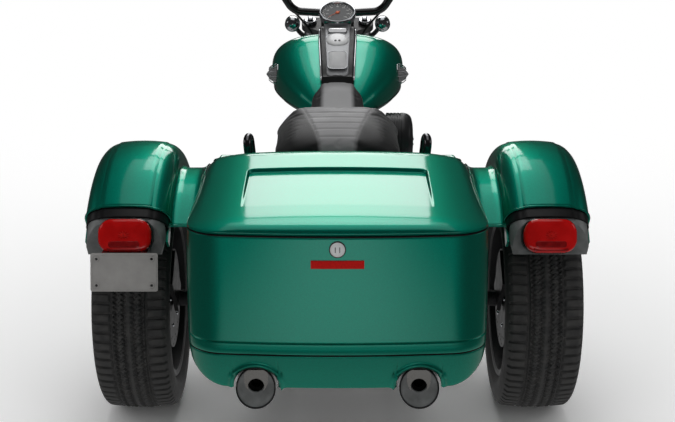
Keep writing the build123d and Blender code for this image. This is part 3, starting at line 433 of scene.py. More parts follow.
# Painted cast iron of the axle, dusty in patches.
CAST_AXLE = finish("painted_cast_iron_axle", ("26272A", "3A3A3B"), 0.2, (0.45, 0.65), 26.0,
                   ("noise", 2.4, 0.2))
# Toothed belt: matte fabric-backed rubber.
BELT_RUBBER = finish("fabric_backed_belt_rubber", ("141414", "1E1D1C"), 0.0, (0.7, 0.85), 9.0,
                     ("noise", 0.9, 0.1))
# Turned and polished steel of the fork tubes, the muffler bands and the seat's tab.
STEEL = finish("turned_bright_steel", ("9A9C9F", "B2B3B5"), 1.0, (0.2, 0.34), 14.0, ("noise", 3.0, 0.02))
# Hard-anodised calliper castings: dark grey with a fine blasted grain.
CALIPER_GREY = finish("hard_anodised_calliper", ("1B1B1D", "262628"), 0.3, (0.34, 0.46), 20.0,
                      ("noise", 1.5, 0.05))
# Road tyre rubber: dark grey, dusty in patches, with a soft low gloss.
TYRE_RUBBER = finish("road_tyre_rubber", ("323233", "444342"), 0.0, (0.55, 0.75), 24.0, ("noise", 1.3, 0.12))
# Cast alloy of the wheels in dark paint: even, with a low satin gloss.
WHEEL_DARK = finish("dark_painted_cast_alloy", ("121315", "1B1C1E"), 0.1, (0.40, 0.52), 30.0,
                    ("noise", 2.2, 0.04), Coat_Weight=0.15, Coat_Roughness=0.3)
# Moulded black plastic of hand controls, mirrors, front signals, fender bands and lamp shells.
MOULDED_BLACK = finish("moulded_black_plastic", ("101011", "18181A"), 0.0, (0.3, 0.42), 16.0,
                       ("noise", 0.9, 0.05))
# Soft rubber of grips, pegs and footboards.
GRIP_RUBBER = finish("ribbed_grip_rubber", ("131313", "1D1D1C"), 0.0, (0.62, 0.8), 8.0, ("noise", 0.7, 0.08))
# Blank number plate: painted aluminium sheet.
PLATE_PAINT = finish("painted_aluminium_plate", ("999795", "A3A19F"), 0.1, (0.42, 0.5), 30.0,
                     ("noise", 1.1, 0.02))
# Black vinyl seat cover with pressed leather grain of about a millimetre and a half.
SEAT_VINYL = finish("grained_black_seat_vinyl", ("151516", "1C1C1D"), 0.0, (0.48, 0.58), 60.0,
                    ("cells", 1.5, 0.16), Sheen_Weight=0.12, Sheen_Roughness=0.5)
# Black chrome over polished steel: a dark mirror that still carries the bright panels.
BLACK_CHROME = finish("black_chrome_plate", ("6C6C6E", "78787A"), 1.0, (0.16, 0.22), 40.0,
                      ("noise", 6.0, 0.01))
# Pale grey crackle paint of the tank console's panel.
CONSOLE_GREY = finish("pale_grey_crackle_paint", ("8F9091", "9C9D9E"), 0.2, (0.36, 0.44), 22.0,
                      ("cells", 1.4, 0.05))
# Signal-red moulded lens under a glossy coat.
RED_LENS = finish("red_acrylic_lens", ("A80606", "C20A0A"), 0.0, (0.08, 0.14), 40.0, ("z", 3.0, 0.1),
                  Coat_Weight=0.4, Coat_Roughness=0.03, Coat_IOR=1.49)
# Pale grey of the lock and the filler cap, painted reflection: the colour stands in for the bright reflection
# of their metal, so it is never black.
PALE_REFLECTION_GREY = finish("pale_grey_painted_reflection", ("D2D3D4", "DFE0E0"), 0.15, (0.30, 0.38), 20.0, ("noise", 3.0, 0.02))
# Charcoal needle-felt lining of the trunk.
LINING = finish("charcoal_needle_felt_lining", ("1C1C1E", "29292B"), 0.0, (0.85, 0.95), 5.0,
                ("noise", 0.9, 0.4), Sheen_Weight=0.2, Sheen_Roughness=0.7)
# Dark red inner window of the tail lamps, painted shade that stands in for depth behind the lens; also the
# band at each lamp's foot.
DARK_RED = finish("dark_red_window_shade_and_foot", ("6E0406", "8A0608"), 0.0, (0.10, 0.18), 12.0, ("x", 2.5, 0.15),
                  Coat_Weight=0.6, Coat_Roughness=0.05)
# Solid red reflex reflector with prisms about 2 mm across.
REFLEX_RED = finish("prismatic_red_reflector", ("B00604", "C81008"), 0.0, (0.42, 0.55), 5.0,
                    ("cells", 2.2, 0.3), Specular_IOR_Level=0.15)
# Smoked amber lens of the front signals: brown, glossy and partly clear.
SMOKED_LENS = finish("smoked_amber_lens", ("4A3426", "5E4634"), 0.0, (0.06, 0.12), 12.0, None,
                     Transmission_Weight=0.35, IOR=1.49, Coat_Weight=0.8, Coat_Roughness=0.04)
# Clear glass of the headlamp: it lets the bowl and the bulb show.
CLEAR_GLASS = finish("clear_lamp_glass", ("F4F6F7", "FBFCFD"), 0.0, (0.01, 0.03), 50.0, None,
                     Transmission_Weight=1.0, IOR=1.45)
# Bright vacuum-metallised reflector bowl.
REFLECTOR = finish("metallised_reflector_bowl", ("D5D6D8", "E2E3E5"), 1.0, (0.08, 0.16), 10.0,
                   ("noise", 6.0, 0.05))
# Matte printed face of the instrument, mid grey so that its white marks read.
DIAL_GREY = finish("matte_instrument_dial", ("4E4F50", "5B5C5D"), 0.0, (0.5, 0.6), 14.0, ("noise", 0.8, 0.02))
# Printed white of the dial's figures and marks.
DIAL_WHITE = finish("printed_dial_white", ("D8D9D6", "E6E6E2"), 0.0, (0.5, 0.6), 5.0, ("noise", 0.6, 0.01))
# Orange lacquer of the pointer, the one warm spot on the dial.
POINTER_ORANGE = finish("orange_pointer_lacquer", ("C8501A", "D8602A"), 0.0, (0.3, 0.4), 5.0,
                        ("noise", 1.0, 0.01))
# Silvered glass of the mirrors: a clean, bright reflection.
MIRROR_GLASS = finish("silvered_mirror_glass", ("DADDDF", "E3E5E7"), 1.0, (0.01, 0.03), 40.0,
                      ("noise", 50.0, 0.005))
# Smooth rubber of hoses and cable covers: matte black with a faint ripple.
HOSE_RUBBER = finish("smooth_hose_rubber", ("121212", "1A1A1A"), 0.0, (0.4, 0.55), 10.0, ("noise", 1.0, 0.05))


def painted(name, grids, body="chassis", **more):
    """A piece in the vehicle's green lacquer."""
    return piece(name, grids, body, PAINT, "paint_green", **more)


def chromed(name, grids, body="chassis", **more):
    """A piece in polished chrome."""
    return piece(name, grids, body, CHROME, "chrome", **more)


def paint_nodes(coating, *names):
    """Gives CAD nodes a finish in every one of their material slots."""
    for name in names:
        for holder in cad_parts[name].material_slots:
            holder.material = coating


paint_nodes(LINING, "trunk_tub")
paint_nodes(PAINT, "rear_valance", "rear_fender_right", "rear_fender_left", "side_covers",
            "front_fender", "fuel_tank", "trunk_lid")
paint_nodes(POWDER_BLACK, "frame", "plate_bracket", "handlebar")
paint_nodes(BLACK_CHROME, "grab_rails")
paint_nodes(WRINKLE_BLACK, "engine_case", "cylinders")
paint_nodes(SATIN_BLACK, "rocker_covers", "primary_cover", "air_cleaner", "triple_clamps", "oil_cooler",
            "shock_absorbers")
paint_nodes(CHROME, "timing_cover", "tank_badges", "headlamp", "speedometer")
paint_nodes(SMOKED_CHROME, "mufflers", "exhaust_pipes")
paint_nodes(SILVER_SATIN, "dash_console")
paint_nodes(PANEL_GREY, "lamp_panels")
paint_nodes(CAST_AXLE, "swingarm")
paint_nodes(BELT_RUBBER, "drive_belt")
paint_nodes(STEEL, "fork_legs")
paint_nodes(CALIPER_GREY, "rear_calipers", "front_calipers")
paint_nodes(TYRE_RUBBER, "front_tyre", "rear_tyre_right", "rear_tyre_left")
paint_nodes(WHEEL_DARK, "front_wheel", "rear_wheel_right", "rear_wheel_left")
paint_nodes(MOULDED_BLACK, "hand_controls", "mirrors", "front_signals")
paint_nodes(GRIP_RUBBER, "footboards")
paint_nodes(PLATE_PAINT, "number_plate")


def highlight_panel_cover(black, grey, name, panel):
    """A seat cover: black vinyl with a grey panel along its middle, a painted highlight for the light that
    falls on the seat's top. panel holds (Y, half width) where it begins and where it ends. The two colours
    blend over 16 mm."""
    (start_mm, start_half), (end_mm, end_half) = panel
    made = black.copy()
    made.name = name
    tree = made.node_tree
    shader = tree.nodes["Principled BSDF"]
    place = add(tree, "SeparateXYZ", [("Vector", add(tree, "TexCoord").outputs["Object"])])
    half = add(tree, "MapRange", [("Value", place.outputs["Y"]), ("From Min", (start_mm + ROW_SHIFT) / 1000),
                                  ("From Max", (end_mm + ROW_SHIFT) / 1000), ("To Min", start_half / 1000),
                                  ("To Max", end_half / 1000)]).outputs["Result"]
    inside = calc(tree, "SUBTRACT", half, calc(tree, "ABSOLUTE", place.outputs["X"]))
    share = add(tree, "MapRange", [("Value", inside), ("From Min", -0.008), ("From Max", 0.008)])
    mixed = add(tree, "Mix", [("Factor", share.outputs["Result"])], data_type="RGBA")
    tree.links.new(shader.inputs["Base Color"].links[0].from_socket, mixed.inputs["A"])
    mixed.inputs["B"].default_value = linear(grey)
    tree.links.new(mixed.outputs["Result"], shader.inputs["Base Color"])
    return made


PILLION_PANEL = ((60.0, 52.0), (340.0, 114.0))
RIDER_PANEL = ((520.0, 92.0), (640.0, 52.0))
# The grey middle panels of both covers are painted highlight: a lighter grey where light falls on the seats'
# tops.
PILLION_HIGHLIGHT_COVER = highlight_panel_cover(SEAT_VINYL, "7B7B7C", "pillion_vinyl_painted_highlight", PILLION_PANEL)
RIDER_HIGHLIGHT_COVER = highlight_panel_cover(SEAT_VINYL, "9A9A9B", "rider_vinyl_painted_highlight", RIDER_PANEL)
paint_nodes(RIDER_HIGHLIGHT_COVER, "rider_seat")
paint_nodes(PILLION_HIGHLIGHT_COVER, "passenger_seat")
paint_nodes(RED_LENS, "tail_lamps")


# Trunk: its outline from above at any height, shared by the tub's skin, the valance and the lid

TRUNK_HALF = 385.0
TRUNK_CORNER = 105.0
TRUNK_BULGE = 26.0
# Where the sides begin to slant in, and how far forward and how wide the trunk's front is.
SIDE_BREAK_Y = -160.0
TRUNK_FRONT_Y, TRUNK_FRONT_X = 130.0, 349.0
WIDEST_Z = 540.0
# The lid ends earlier, at this station and half width, and the deck begins behind its gap.
LID_EDGE_Y, LID_EDGE_X = -25.0, 363.9
DECK_REAR_Y = -21.0
SEAM_Z, LID_LOW_Z = 722.0, 727.0
VALANCE_TOP_Z, TRUNK_LOW_Z = 416.0, 310.0
FOOT_RADIUS = 96.0
SKIN = 3.5


def soft_least(a, b, soft):
    """The lesser of two values, with the corner between them rounded: -s ln(e^(-a/s) + e^(-b/s))."""
    return -soft * np.logaddexp(-a / soft, -b / soft)


def trunk_side_x(z):
    """Half width at a height: widest at WIDEST_Z, drawn in as a parabola above and below, and round the
    foot."""
    draw_in = np.where(z < WIDEST_Z, ((z - WIDEST_Z) / 65) ** 2, ((z - WIDEST_Z) / 73.7) ** 2)
    foot = np.maximum(TRUNK_LOW_Z + FOOT_RADIUS - z, 0.0)
    return TRUNK_HALF + 0.5 - draw_in - (FOOT_RADIUS - np.sqrt(np.maximum(FOOT_RADIUS**2 - foot**2, 0.0)))


def trunk_rear_y(z):
    """Rear face in profile: out to the belt line at 430 mm, then leaning forward, more so above the seam."""
    return np.interp(z, [310, 372, 412, 430, 446, 722, 752, 809],
                     [-612, -636, -651, -657, -657.5, -632, -619, -594])


def trunk_edge(z, spread=0.0, counts=(30, 14, 22, 8, 24), front_y=TRUNK_FRONT_Y, front_x=TRUNK_FRONT_X):
    """Right half of the outline at heights z (rows, or rows by columns): a bowed rear, a corner arc, the
    side, a slanted front side and the front, from the rear middle to the front middle. The whole is
    pushed outwards by spread and held inside trunk_side_x."""
    z = np.asarray(z, float)
    z = z[:, None] if z.ndim == 1 else z
    end = bowed_end(TRUNK_HALF, TRUNK_BULGE, TRUNK_CORNER, counts[:2] + (0,), 400.0)
    first = len(end)
    run, slant, across = (np.linspace(0, 1, count + 1)[1:] for count in counts[2:])
    x = np.concatenate([end[:, 0], np.full(counts[2], TRUNK_HALF),
                        TRUNK_HALF + slant * (front_x - TRUNK_HALF), front_x * (1 - across)])
    z = np.broadcast_to(z, (len(z), len(x)))
    rear = trunk_rear_y(z[:, :first]) + end[:, 1]
    side_z = z[:, first:first + counts[2]]
    side = trunk_rear_y(side_z) + end[-1, 1]
    side = side + run * (SIDE_BREAK_Y - side)
    ahead = np.concatenate([SIDE_BREAK_Y + slant * (front_y - SIDE_BREAK_Y), np.full(counts[4], front_y)])
    y = np.concatenate([rear, side, np.broadcast_to(ahead, (len(z), len(ahead)))], axis=1)
    edge = np.stack([np.broadcast_to(x, y.shape), y, z], axis=-1)
    edge = edge + spread * outward(edge)
    edge[..., 0] = soft_least(edge[..., 0], trunk_side_x(z) + spread, 4.0)
    return edge


def outward(edge):
    """Level unit vectors square to half outlines that run from the rear middle round the right side."""
    along = np.gradient(edge, axis=1)
    return unit(np.stack([along[..., 1], -along[..., 0], np.zeros(along.shape[:2])], axis=-1))


def whole(edge):
    """A closed ring from its right half."""
    return np.concatenate([edge, (edge * (-1.0, 1.0, 1.0))[:, -2:0:-1]], axis=1)


def trunk_skin():
    """Painted outside of the tub, with the crease near its foot and rolled edges at its seams."""
    groove_z, groove_depth, groove_half = 452.0, 2.2, 2.6
    z = np.concatenate([[420.0, 420.4, 422, 425, 430, 436, 442, 447], groove_z + np.linspace(-4, 4, 11),
                        np.linspace(459, 714, 40), [717, 719.5, 721.3, 722.0]])
    rows = trunk_edge(z, SKIN)
    dent = groove_depth * np.exp(-((z - groove_z) / groove_half * 1.6) ** 2)
    roll = 1.0 * (np.clip((422 - z) / 2, 0, 1) ** 2 + np.clip((z - 720.5) / 1.5, 0, 1) ** 2)
    rows = rows - (dent + roll)[:, None, None] * outward(rows)
    painted("trunk_skin", [whole(rows)], outward_from=(0, -260, 570), wall=2.4)


def trunk_seals():
    """Black rubber strips in the lid's seam and in the gap above the valance."""
    seals = (("trunk_lid_seal", SEAM_Z - 1.0, LID_LOW_Z - 0.8, LID_EDGE_Y, LID_EDGE_X),
             ("trunk_foot_seal", 415.0, 419.5, TRUNK_FRONT_Y, TRUNK_FRONT_X))
    for name, low, high, front_y, front_x in seals:
        inset = [(-9.0, low), (2.6, low + 1.05), (3.0, low + 1.8), (2.2, low + 2.6), (-3.0, high),
                 (-9.0, high)]
        rows = np.concatenate([trunk_edge(np.asarray([height]), spread, front_y=front_y, front_x=front_x)
                               for spread, height in inset])
        piece(name, [(whole(rows), True, True)], "chassis", HOSE_RUBBER, "frame_black")


MUFFLER_X, MUFFLER_RADIUS = 208.0, 50.0
MUFFLER_TIP = np.asarray((MUFFLER_X, -636.0, 322.0))
MUFFLER_FRONT = np.asarray((MUFFLER_X, 230.0, 196.0))
VALANCE_GAP = 9.0


def muffler_z(y):
    """Height of the mufflers' centre line at a station: straight from their fronts to their tips."""
    run = MUFFLER_FRONT - MUFFLER_TIP
    return MUFFLER_TIP[2] + (y - MUFFLER_TIP[1]) * run[2] / run[1]


def valance():
    """Skirt under the tub: rounded feet, arches over both mufflers, and a raised lip round each arch."""
    columns = (150, 14, 30, 1, 1)
    ring = trunk_edge(np.asarray([VALANCE_TOP_Z]), 0.0, columns)
    keep = ring[0, :, 1] < -300
    arch = MUFFLER_RADIUS + VALANCE_GAP

    def low_edge(edge):
        across = np.abs(edge[..., 0]) - MUFFLER_X
        over = muffler_z(edge[..., 1]) - 4 + np.sqrt(np.maximum(arch**2 - across**2, 0.0))
        return np.where(np.abs(across) < arch, np.maximum(over, TRUNK_LOW_Z), TRUNK_LOW_Z)

    foot = np.full(ring.shape[:2], 350.0)
    for _ in range(12):
        foot = 0.5 * foot + 0.5 * low_edge(trunk_edge(foot, SKIN, columns))
    share = np.concatenate([np.linspace(0, 0.75, 22), np.linspace(0.78, 1.0, 18)])[:, None]
    z = VALANCE_TOP_Z + (foot - VALANCE_TOP_Z) * share
    rows = trunk_edge(z, SKIN, columns)
    near = np.hypot(np.abs(rows[..., 0]) - MUFFLER_X, rows[..., 2] - muffler_z(rows[..., 1]) + 4) - arch
    lip = 6.5 * np.exp(-((near - 7) / 6.5) ** 2) * (rows[..., 1] < -560)
    roll = 0.8 * np.clip((rows[..., 2] - 414.8) / 1.2, 0, 1) ** 2
    roll = roll + 3.0 * np.clip((share - 0.985) / 0.015, 0, 1)
    rows = rows + (lip - roll)[..., None] * outward(rows)
    rows = rows[:, keep]
    rows = np.concatenate([(rows * (-1.0, 1.0, 1.0))[:, :0:-1], rows], axis=1)
    painted("rear_valance_skirt", [(rows, False, False)], hides=("rear_valance",),
            outward_from=(0, -400, 400), wall=6.0)


def deck_skin():
    """Painted deck ahead of the lid: its side up from the tub's edge, a rolled corner and the flat top."""
    ring = trunk_edge(np.asarray([730.0]), SKIN, (30, 14, 120, 60, 60))
    ring = ring[:, ring[0, :, 1] > DECK_REAR_Y]
    ring[:, 0, 1] = DECK_REAR_Y
    out = outward(ring)
    turn = np.linspace(0, np.pi / 2, 7)
    top_z, edge = 736.0, 5.0
    levels = [(0.0, SEAM_Z - 0.2), (0.0, LID_LOW_Z)]
    levels += [(edge * np.cos(a) - edge, top_z - edge + edge * np.sin(a)) for a in turn]
    rows = np.concatenate([ring + spread * out + (0, 0, z - ring[0, 0, 2]) for spread, z in levels])
    rows[:, 0, 1] = DECK_REAR_Y
    t = np.linspace(0, 1, 8)[1:, None, None]
    y = DECK_REAR_Y + (rows[-1:, :, 1] - DECK_REAR_Y) * (1 - t[..., 0])
    top = np.stack([np.broadcast_to(rows[-1:, :, 0], y.shape), y, np.full(y.shape, top_z)], axis=-1)
    rows = np.concatenate([rows, top])
    rows = np.concatenate([rows, (rows * (-1, 1, 1))[:, -2::-1]], axis=1)
    painted("trunk_deck_skin", [(rows, False, False)], outward_from=(0, 60, 600), wall=1.2)


def lid_lining():
    """Felt panel under the lid's roof."""
    x, y = np.meshgrid(np.linspace(-322, 322, 40), np.linspace(-528, -60, 30))
    z = lid_roof_z(x, y) - 19.0 - 8 * np.maximum(np.abs(x) / 322, np.abs(y + 294) / 234) ** 12
    piece("lid_lining", [(np.stack([x, y, z], axis=-1), False, False)], "lid", LINING, "paint_green",
          outward_from=(0, -294, 800), wall=4.0)


LID_FRONT_Y, LID_TOP_Z, LID_CROWN, LID_FALL = -22.0, 799.0, 12.0, 38.0 / 523.0
RECESS_HALF, RECESS_FRONT_Y, RECESS_REAR_Y, RECESS_DEPTH = 245.0, -200.0, -490.0, 11.0


def lid_roof_z(x, y):
    """Roof height: it falls by LID_FALL towards the rear, is crowned by LID_CROWN across, dips 12 mm to
    its front edge, and 11 mm and more towards its sides and rear, less the recess. The recess is
    RECESS_DEPTH at its front step and fades to nothing at its rear."""
    roof = LID_TOP_Z + (y - LID_FRONT_Y) * LID_FALL - LID_CROWN * (x / 374.0) ** 2
    roof = roof - 12.0 * np.clip((y + 95) / 73, 0, 1) ** 2
    rim = np.hypot(np.maximum(np.abs(x) - 225, 0) / 125, np.maximum(-550 - y, 0) / 82)
    roof = roof - 11.0 * np.minimum(rim, 1.4) ** 2
    corner = 18.0
    over_x, over_y = np.abs(x) - RECESS_HALF + corner, y - RECESS_FRONT_Y + corner
    outside = np.hypot(np.maximum(over_x, 0), np.maximum(over_y, 0))
    outside = outside + np.minimum(np.maximum(over_x, over_y), 0) - corner
    deepening = np.clip((y - RECESS_REAR_Y) / (RECESS_FRONT_Y - RECESS_REAR_Y), 0, 1)
    return roof - RECESS_DEPTH * deepening * ease(0.5 - outside / 7.0)


def trunk_lid():
    """Lid shell: leaning walls, a rolled shoulder of up to 34 mm at the sides and less at the rear and
    front, two hinge slots, and the crowned roof, on rings that meet a grid round the recess."""
    x_line = np.concatenate([np.linspace(0, 190, 19), [192, 194, 196], np.linspace(200, 226, 4)[:-1],
                             np.linspace(226, 254, 22), [258.0, 262.0]])
    y_line = np.concatenate([np.linspace(-506, -490, 3), np.linspace(-480, -224, 27),
                             np.linspace(-221, -190, 24), [-188.0, -186.0]])
    count_x, count_y = len(x_line), len(y_line)
    columns = (count_x, 14, count_y - 9, 8, count_x - 1 + 6)
    top = trunk_edge(np.asarray([LID_LOW_Z]), 0.0, columns, LID_EDGE_Y, LID_EDGE_X)
    size = top.shape[1]
    x, y = top[0, :, 0], top[0, :, 1]
    side_share = np.clip((np.abs(x) - 250) / 100, 0, 1)
    at_front = y > -60
    roll = np.where(at_front, 9.0 + 25.0 * ease((x - 330) / 40), 20.0 + 14.0 * side_share)
    slot = ease((x - 191) / 4) * ease((249 - x) / 4) * at_front
    foot = LID_LOW_Z + 31.0 * slot
    drop = np.minimum(roll, lid_roof_z(x, y) - foot - 5.0)
    base_z = lid_roof_z(x, y) - drop
    share = np.asarray([0.0, 0.02, 0.06, 0.2, 0.4, 0.6, 0.8, 0.92, 1.0])[:, None]
    wall = trunk_edge(foot + (base_z - foot) * share, SKIN, columns, LID_EDGE_Y - 2.0, LID_EDGE_X)
    tuck = np.asarray([0.8, 0.2, 0.0] + [0.0] * 6)[:, None, None]
    wall = wall - tuck * outward(wall)
    inward = -outward(wall[-1:])
    angle = np.linspace(0, np.pi / 2, 12)[1:, None]
    rolled = wall[-1:] + (roll * (1 - np.cos(angle)))[..., None] * inward
    rolled[..., 2] = lid_roof_z(rolled[..., 0], rolled[..., 1]) - drop * (1 - np.sin(angle))
    # The columns of the ring are led to the edge of the grid, its rear first. Those of the two corner
    # arcs all end at a corner of the grid.
    rear = np.stack([x_line, np.full(count_x, y_line[0])], axis=1)
    side = np.stack([np.full(count_y, x_line[-1]), y_line], axis=1)
    front = np.stack([x_line[::-1], np.full(count_x, y_line[-1])], axis=1)
    front_corner = np.repeat(side[-1:], 6, axis=0)
    spare = size - len(rear) - len(side[1:]) - len(front_corner) - len(front[1:])
    edge = np.concatenate([rear, np.repeat(rear[-1:], spare, axis=0), side[1:], front_corner, front[1:]])
    inner = np.stack([edge[:, 0], edge[:, 1], lid_roof_z(edge[:, 0], edge[:, 1])], axis=1)[None]
    t = np.linspace(0, 1, 16)[1:, None, None]
    apron = rolled[-1:] * (1 - t) + inner * t
    apron[..., 2] = lid_roof_z(apron[..., 0], apron[..., 1])
    rings = whole(np.concatenate([wall, rolled, apron]))
    full_x = np.concatenate([-x_line[:0:-1], x_line])
    grid_x, grid_y = np.meshgrid(full_x, y_line)
    panel = np.stack([grid_x, grid_y, lid_roof_z(grid_x, grid_y)], axis=-1)
    painted("trunk_lid_shell", [rings, (panel, False, False)], "lid", hides=("trunk_lid",),
            outward_from=(0, -300, 730), wall=5.0, crease_deg=50)


# Rear fenders

WHEEL_X, FENDER_X = 579.0, 576.5
FENDER_RADIUS, FENDER_HALF, FENDER_LIP = 470.0, 113.5, 372.0
FENDER_CROWN, FENDER_CORNER = 13.0, 52.0
FENDER_SKIN = 3.2
FENDER_FRONT, FENDER_REAR = math.radians(72.0), math.radians(37.5)


def fender_section(half_width, radius, corner, lip, spread, counts):
    """Section of a fender as (X from its middle, radius), pushed out by spread: straight sides that end at
    the radius lip, corner arcs and a crown, with counts of points on each."""
    count_side, count_arc, count_crown = counts
    centre = (half_width - corner, radius - FENDER_CROWN - corner + 4.0)
    angle = np.linspace(0.0, np.radians(77), count_arc)
    arc = np.stack([np.cos(angle), np.sin(angle)], axis=1) * corner + centre
    x = np.linspace(arc[-1, 0], 0.0, count_crown + 1)[1:]
    crown = np.stack([x, radius - FENDER_CROWN * (x / half_width) ** 2], axis=1)
    r = np.linspace(lip, centre[1], count_side + 1)[:-1]
    half = np.concatenate([np.stack([np.full(count_side, half_width), r], axis=1), arc, crown])
    normal = unit(np.stack([np.gradient(half[:, 1]), -np.gradient(half[:, 0])], axis=1))
    normal[-1] = (0.0, 1.0)
    half = half + spread * normal
    return np.concatenate([half, (half * (-1.0, 1.0))[-2::-1]])


def fender_profile(spread, lip=FENDER_LIP):
    """Section of a rear fender."""
    return fender_section(FENDER_HALF, FENDER_RADIUS, FENDER_CORNER, lip, spread, (6, 14, 8))


def round_axle(profile, angles, centre_x, axle=(0.0, AXLE_Z)):
    """A profile of (X, radius) turned about the axle through angles counted backwards from straight up."""
    a = np.asarray(angles, float)[:, None]
    x = np.broadcast_to(centre_x + profile[:, 0], (len(a), len(profile)))
    return np.stack([x, axle[0] - profile[:, 1] * np.sin(a), axle[1] + profile[:, 1] * np.cos(a)], axis=-1)


def rear_fenders():
    """Painted skin over each fender, the raised bead on its rear edge, and the black band inside that."""
    skin = round_axle(fender_profile(FENDER_SKIN), np.linspace(-FENDER_FRONT, FENDER_REAR, 90), FENDER_X)
    lip = round_axle(fender_profile(FENDER_SKIN, FENDER_LIP + 2.0), np.asarray([FENDER_REAR]), FENDER_X)[0]
    bead = tube(lip[lip[:, 2] > lip[0, 2] + 8], 3.4, 12)
    band = round_axle(fender_profile(-0.5, FENDER_LIP + 20.0), np.radians(np.linspace(36.8, 41.6, 10)),
                      FENDER_X)
    for side, name in SIDES:
        middle = (side * FENDER_X, 0, AXLE_Z)
        painted(f"rear_fender_skin_{name}", [(on_side(skin, side), False, False)], outward_from=middle,
                wall=1.2)
        painted(f"rear_fender_bead_{name}", [on_side(bead, side)])
        piece(f"rear_fender_band_{name}", [(on_side(band, side), False, False)], "chassis", MOULDED_BLACK,
              "panel_grey", outward_from=middle, wall=3.0)


BRIDGE_RADIUS, BRIDGE_X = 391.0, (384.0, 465.0)


def fender_bridges():
    """Panel from trunk to fender: a cylinder about the axle whose edges sweep up to meet both neighbours."""
    across = np.linspace(0, 1, 26)
    x = BRIDGE_X[0] + (BRIDGE_X[1] - BRIDGE_X[0]) * across
    radius = BRIDGE_RADIUS + 1.6 + 12.0 * np.abs(2 * across - 1) ** 5
    angles = np.radians(np.linspace(-56.0, 38.9, 70))
    rows = round_axle(np.stack([x, radius], axis=1), angles, 0.0)
    bead_profile = np.stack([x, radius - 1.0], axis=1)
    bead = tube(round_axle(bead_profile, np.radians([38.7]), 0.0)[0], 3.0, 10)
    for side, name in SIDES:
        painted(f"fender_bridge_skin_{name}", [(on_side(rows, side), False, False)],
                outward_from=(side * 420, 0, AXLE_Z), wall=1.2)
        painted(f"fender_bridge_bead_{name}", [on_side(bead, side)])


def leaning(degrees):
    """The outward and the upward direction of a rear face that leans forward by degrees."""
    a = math.radians(degrees)
    return np.asarray((0.0, -math.cos(a), math.sin(a))), np.asarray((0.0, math.sin(a), math.cos(a)))


LAMP_PLACE = np.asarray((567.0, -368.0, 641.0))
LAMP_OUT, LAMP_UP = leaning(18.0)
PLATE_PLACE = np.asarray((-564.0, -432.0, 561.0))
PLATE_OUT, PLATE_UP = leaning(15.0)
ACROSS = np.asarray((1.0, 0.0, 0.0))


def rounded_box(half_u, half_v, corner, steps=6):
    """Outline of a rectangle with round corners, counter-clockwise."""
    base = [(half_u, -half_v), (half_u, half_v), (-half_u, half_v), (-half_u, -half_v)]
    return rounded(np.asarray(base, float), corner, steps, closed=True)


def tail_lamps():
    """Each lamp: a black shell and a domed red lens, as (scale of the outline, height) levels."""
    outline = rounded_box(71.5, 46.0, 38.0, 10)
    shell_levels = [(0, -44), (0.99, -44), (1.02, -6), (1.02, 1), (1.0, 3), (0.96, 3), (0, 3)]
    lens_levels = [(0.0, 3.0), (0.985, 3.0), (0.985, 13.0), (0.95, 18.5), (0.88, 21.5), (0.77, 23.5),
                   (0.6, 24.8), (0.4, 25.6), (0.2, 26.0), (0.0, 26.1)]
    for side, name in SIDES:
        centre = LAMP_PLACE * (side, 1, 1)
        shell = outline_rows(outline, shell_levels, centre, ACROSS, LAMP_UP)
        piece(f"tail_lamp_shell_{name}", [shell], "chassis", MOULDED_BLACK, "panel_grey", ("tail_lamps",))
        lens = outline_rows(outline, lens_levels, centre, ACROSS, LAMP_UP)
        piece(f"tail_lamp_lens_{name}", [lens], "chassis", RED_LENS, "lens_red")


def plate_border():
    """Pressed border just inside the plate's edge."""
    path = rounded_box(84.0, 46.0, 5.0, 5)
    path = PLATE_PLACE + path[:, :1] * ACROSS + path[:, 1:] * PLATE_UP
    piece("plate_border", [hoop(path, PLATE_OUT, half_round(1.6, 1.0))], "chassis", PLATE_PAINT, "plate_grey")


def half_round(half_width, height):
    """Section of a low bead as (outwards, up): a half ellipse on a short foot."""
    angle = np.linspace(0, np.pi, 6)
    top = np.stack([half_width * np.cos(angle), height * np.sin(angle)], axis=1)
    return np.concatenate([[(half_width, -0.4)], top, [(-half_width, -0.4)]])


def hoop(path, normal, section):
    """A section of (outwards, along the normal) pairs carried round a closed path."""
    path, normal = np.asarray(path, float), unit(normal)
    side = unit(np.cross(np.roll(path, -1, axis=0) - np.roll(path, 1, axis=0), normal))
    section = np.asarray(section, float)
    grid = path[:, None] + section[:, :1] * side[:, None] + section[:, 1:] * normal
    return grid, True, True


# Wheels and tyres

WHEELBASE = 1670.0
REAR_TYRE = (218.0, 325.0, 228.6)
FRONT_TYRE = (130.0, 319.0, 241.3)
FRONT_AXLE = (0, WHEELBASE, FRONT_TYRE[1])
RIM_LIP_X, HUB_FACE = 95.0, 34.0


def three_point_arc(a, b, c, steps):
    """Points on the circle through three points, from the first to the last; the last is left out."""
    a, b, c = (np.asarray(p, float) for p in (a, b, c))
    m = 2 * np.asarray([b - a, c - a])
    centre = np.linalg.solve(m, np.asarray([b @ b - a @ a, c @ c - a @ a]))
    start, middle, end = (math.atan2(*(p - centre)[::-1]) for p in (a, b, c))
    turn = (end - start) % (2 * math.pi)
    turn = turn if (middle - start) % (2 * math.pi) < turn else turn - 2 * math.pi
    angle = start + turn * np.linspace(0, 1, steps + 1)[:-1]
    radius = np.linalg.norm(a - centre)
    return centre + radius * np.stack([np.cos(angle), np.sin(angle)], axis=1)


def groove(distance, half_width, edge=1.6):
    """1 inside a groove, 0 outside, with sloping walls."""
    return ease((half_width - np.abs(distance)) / edge + 0.5)


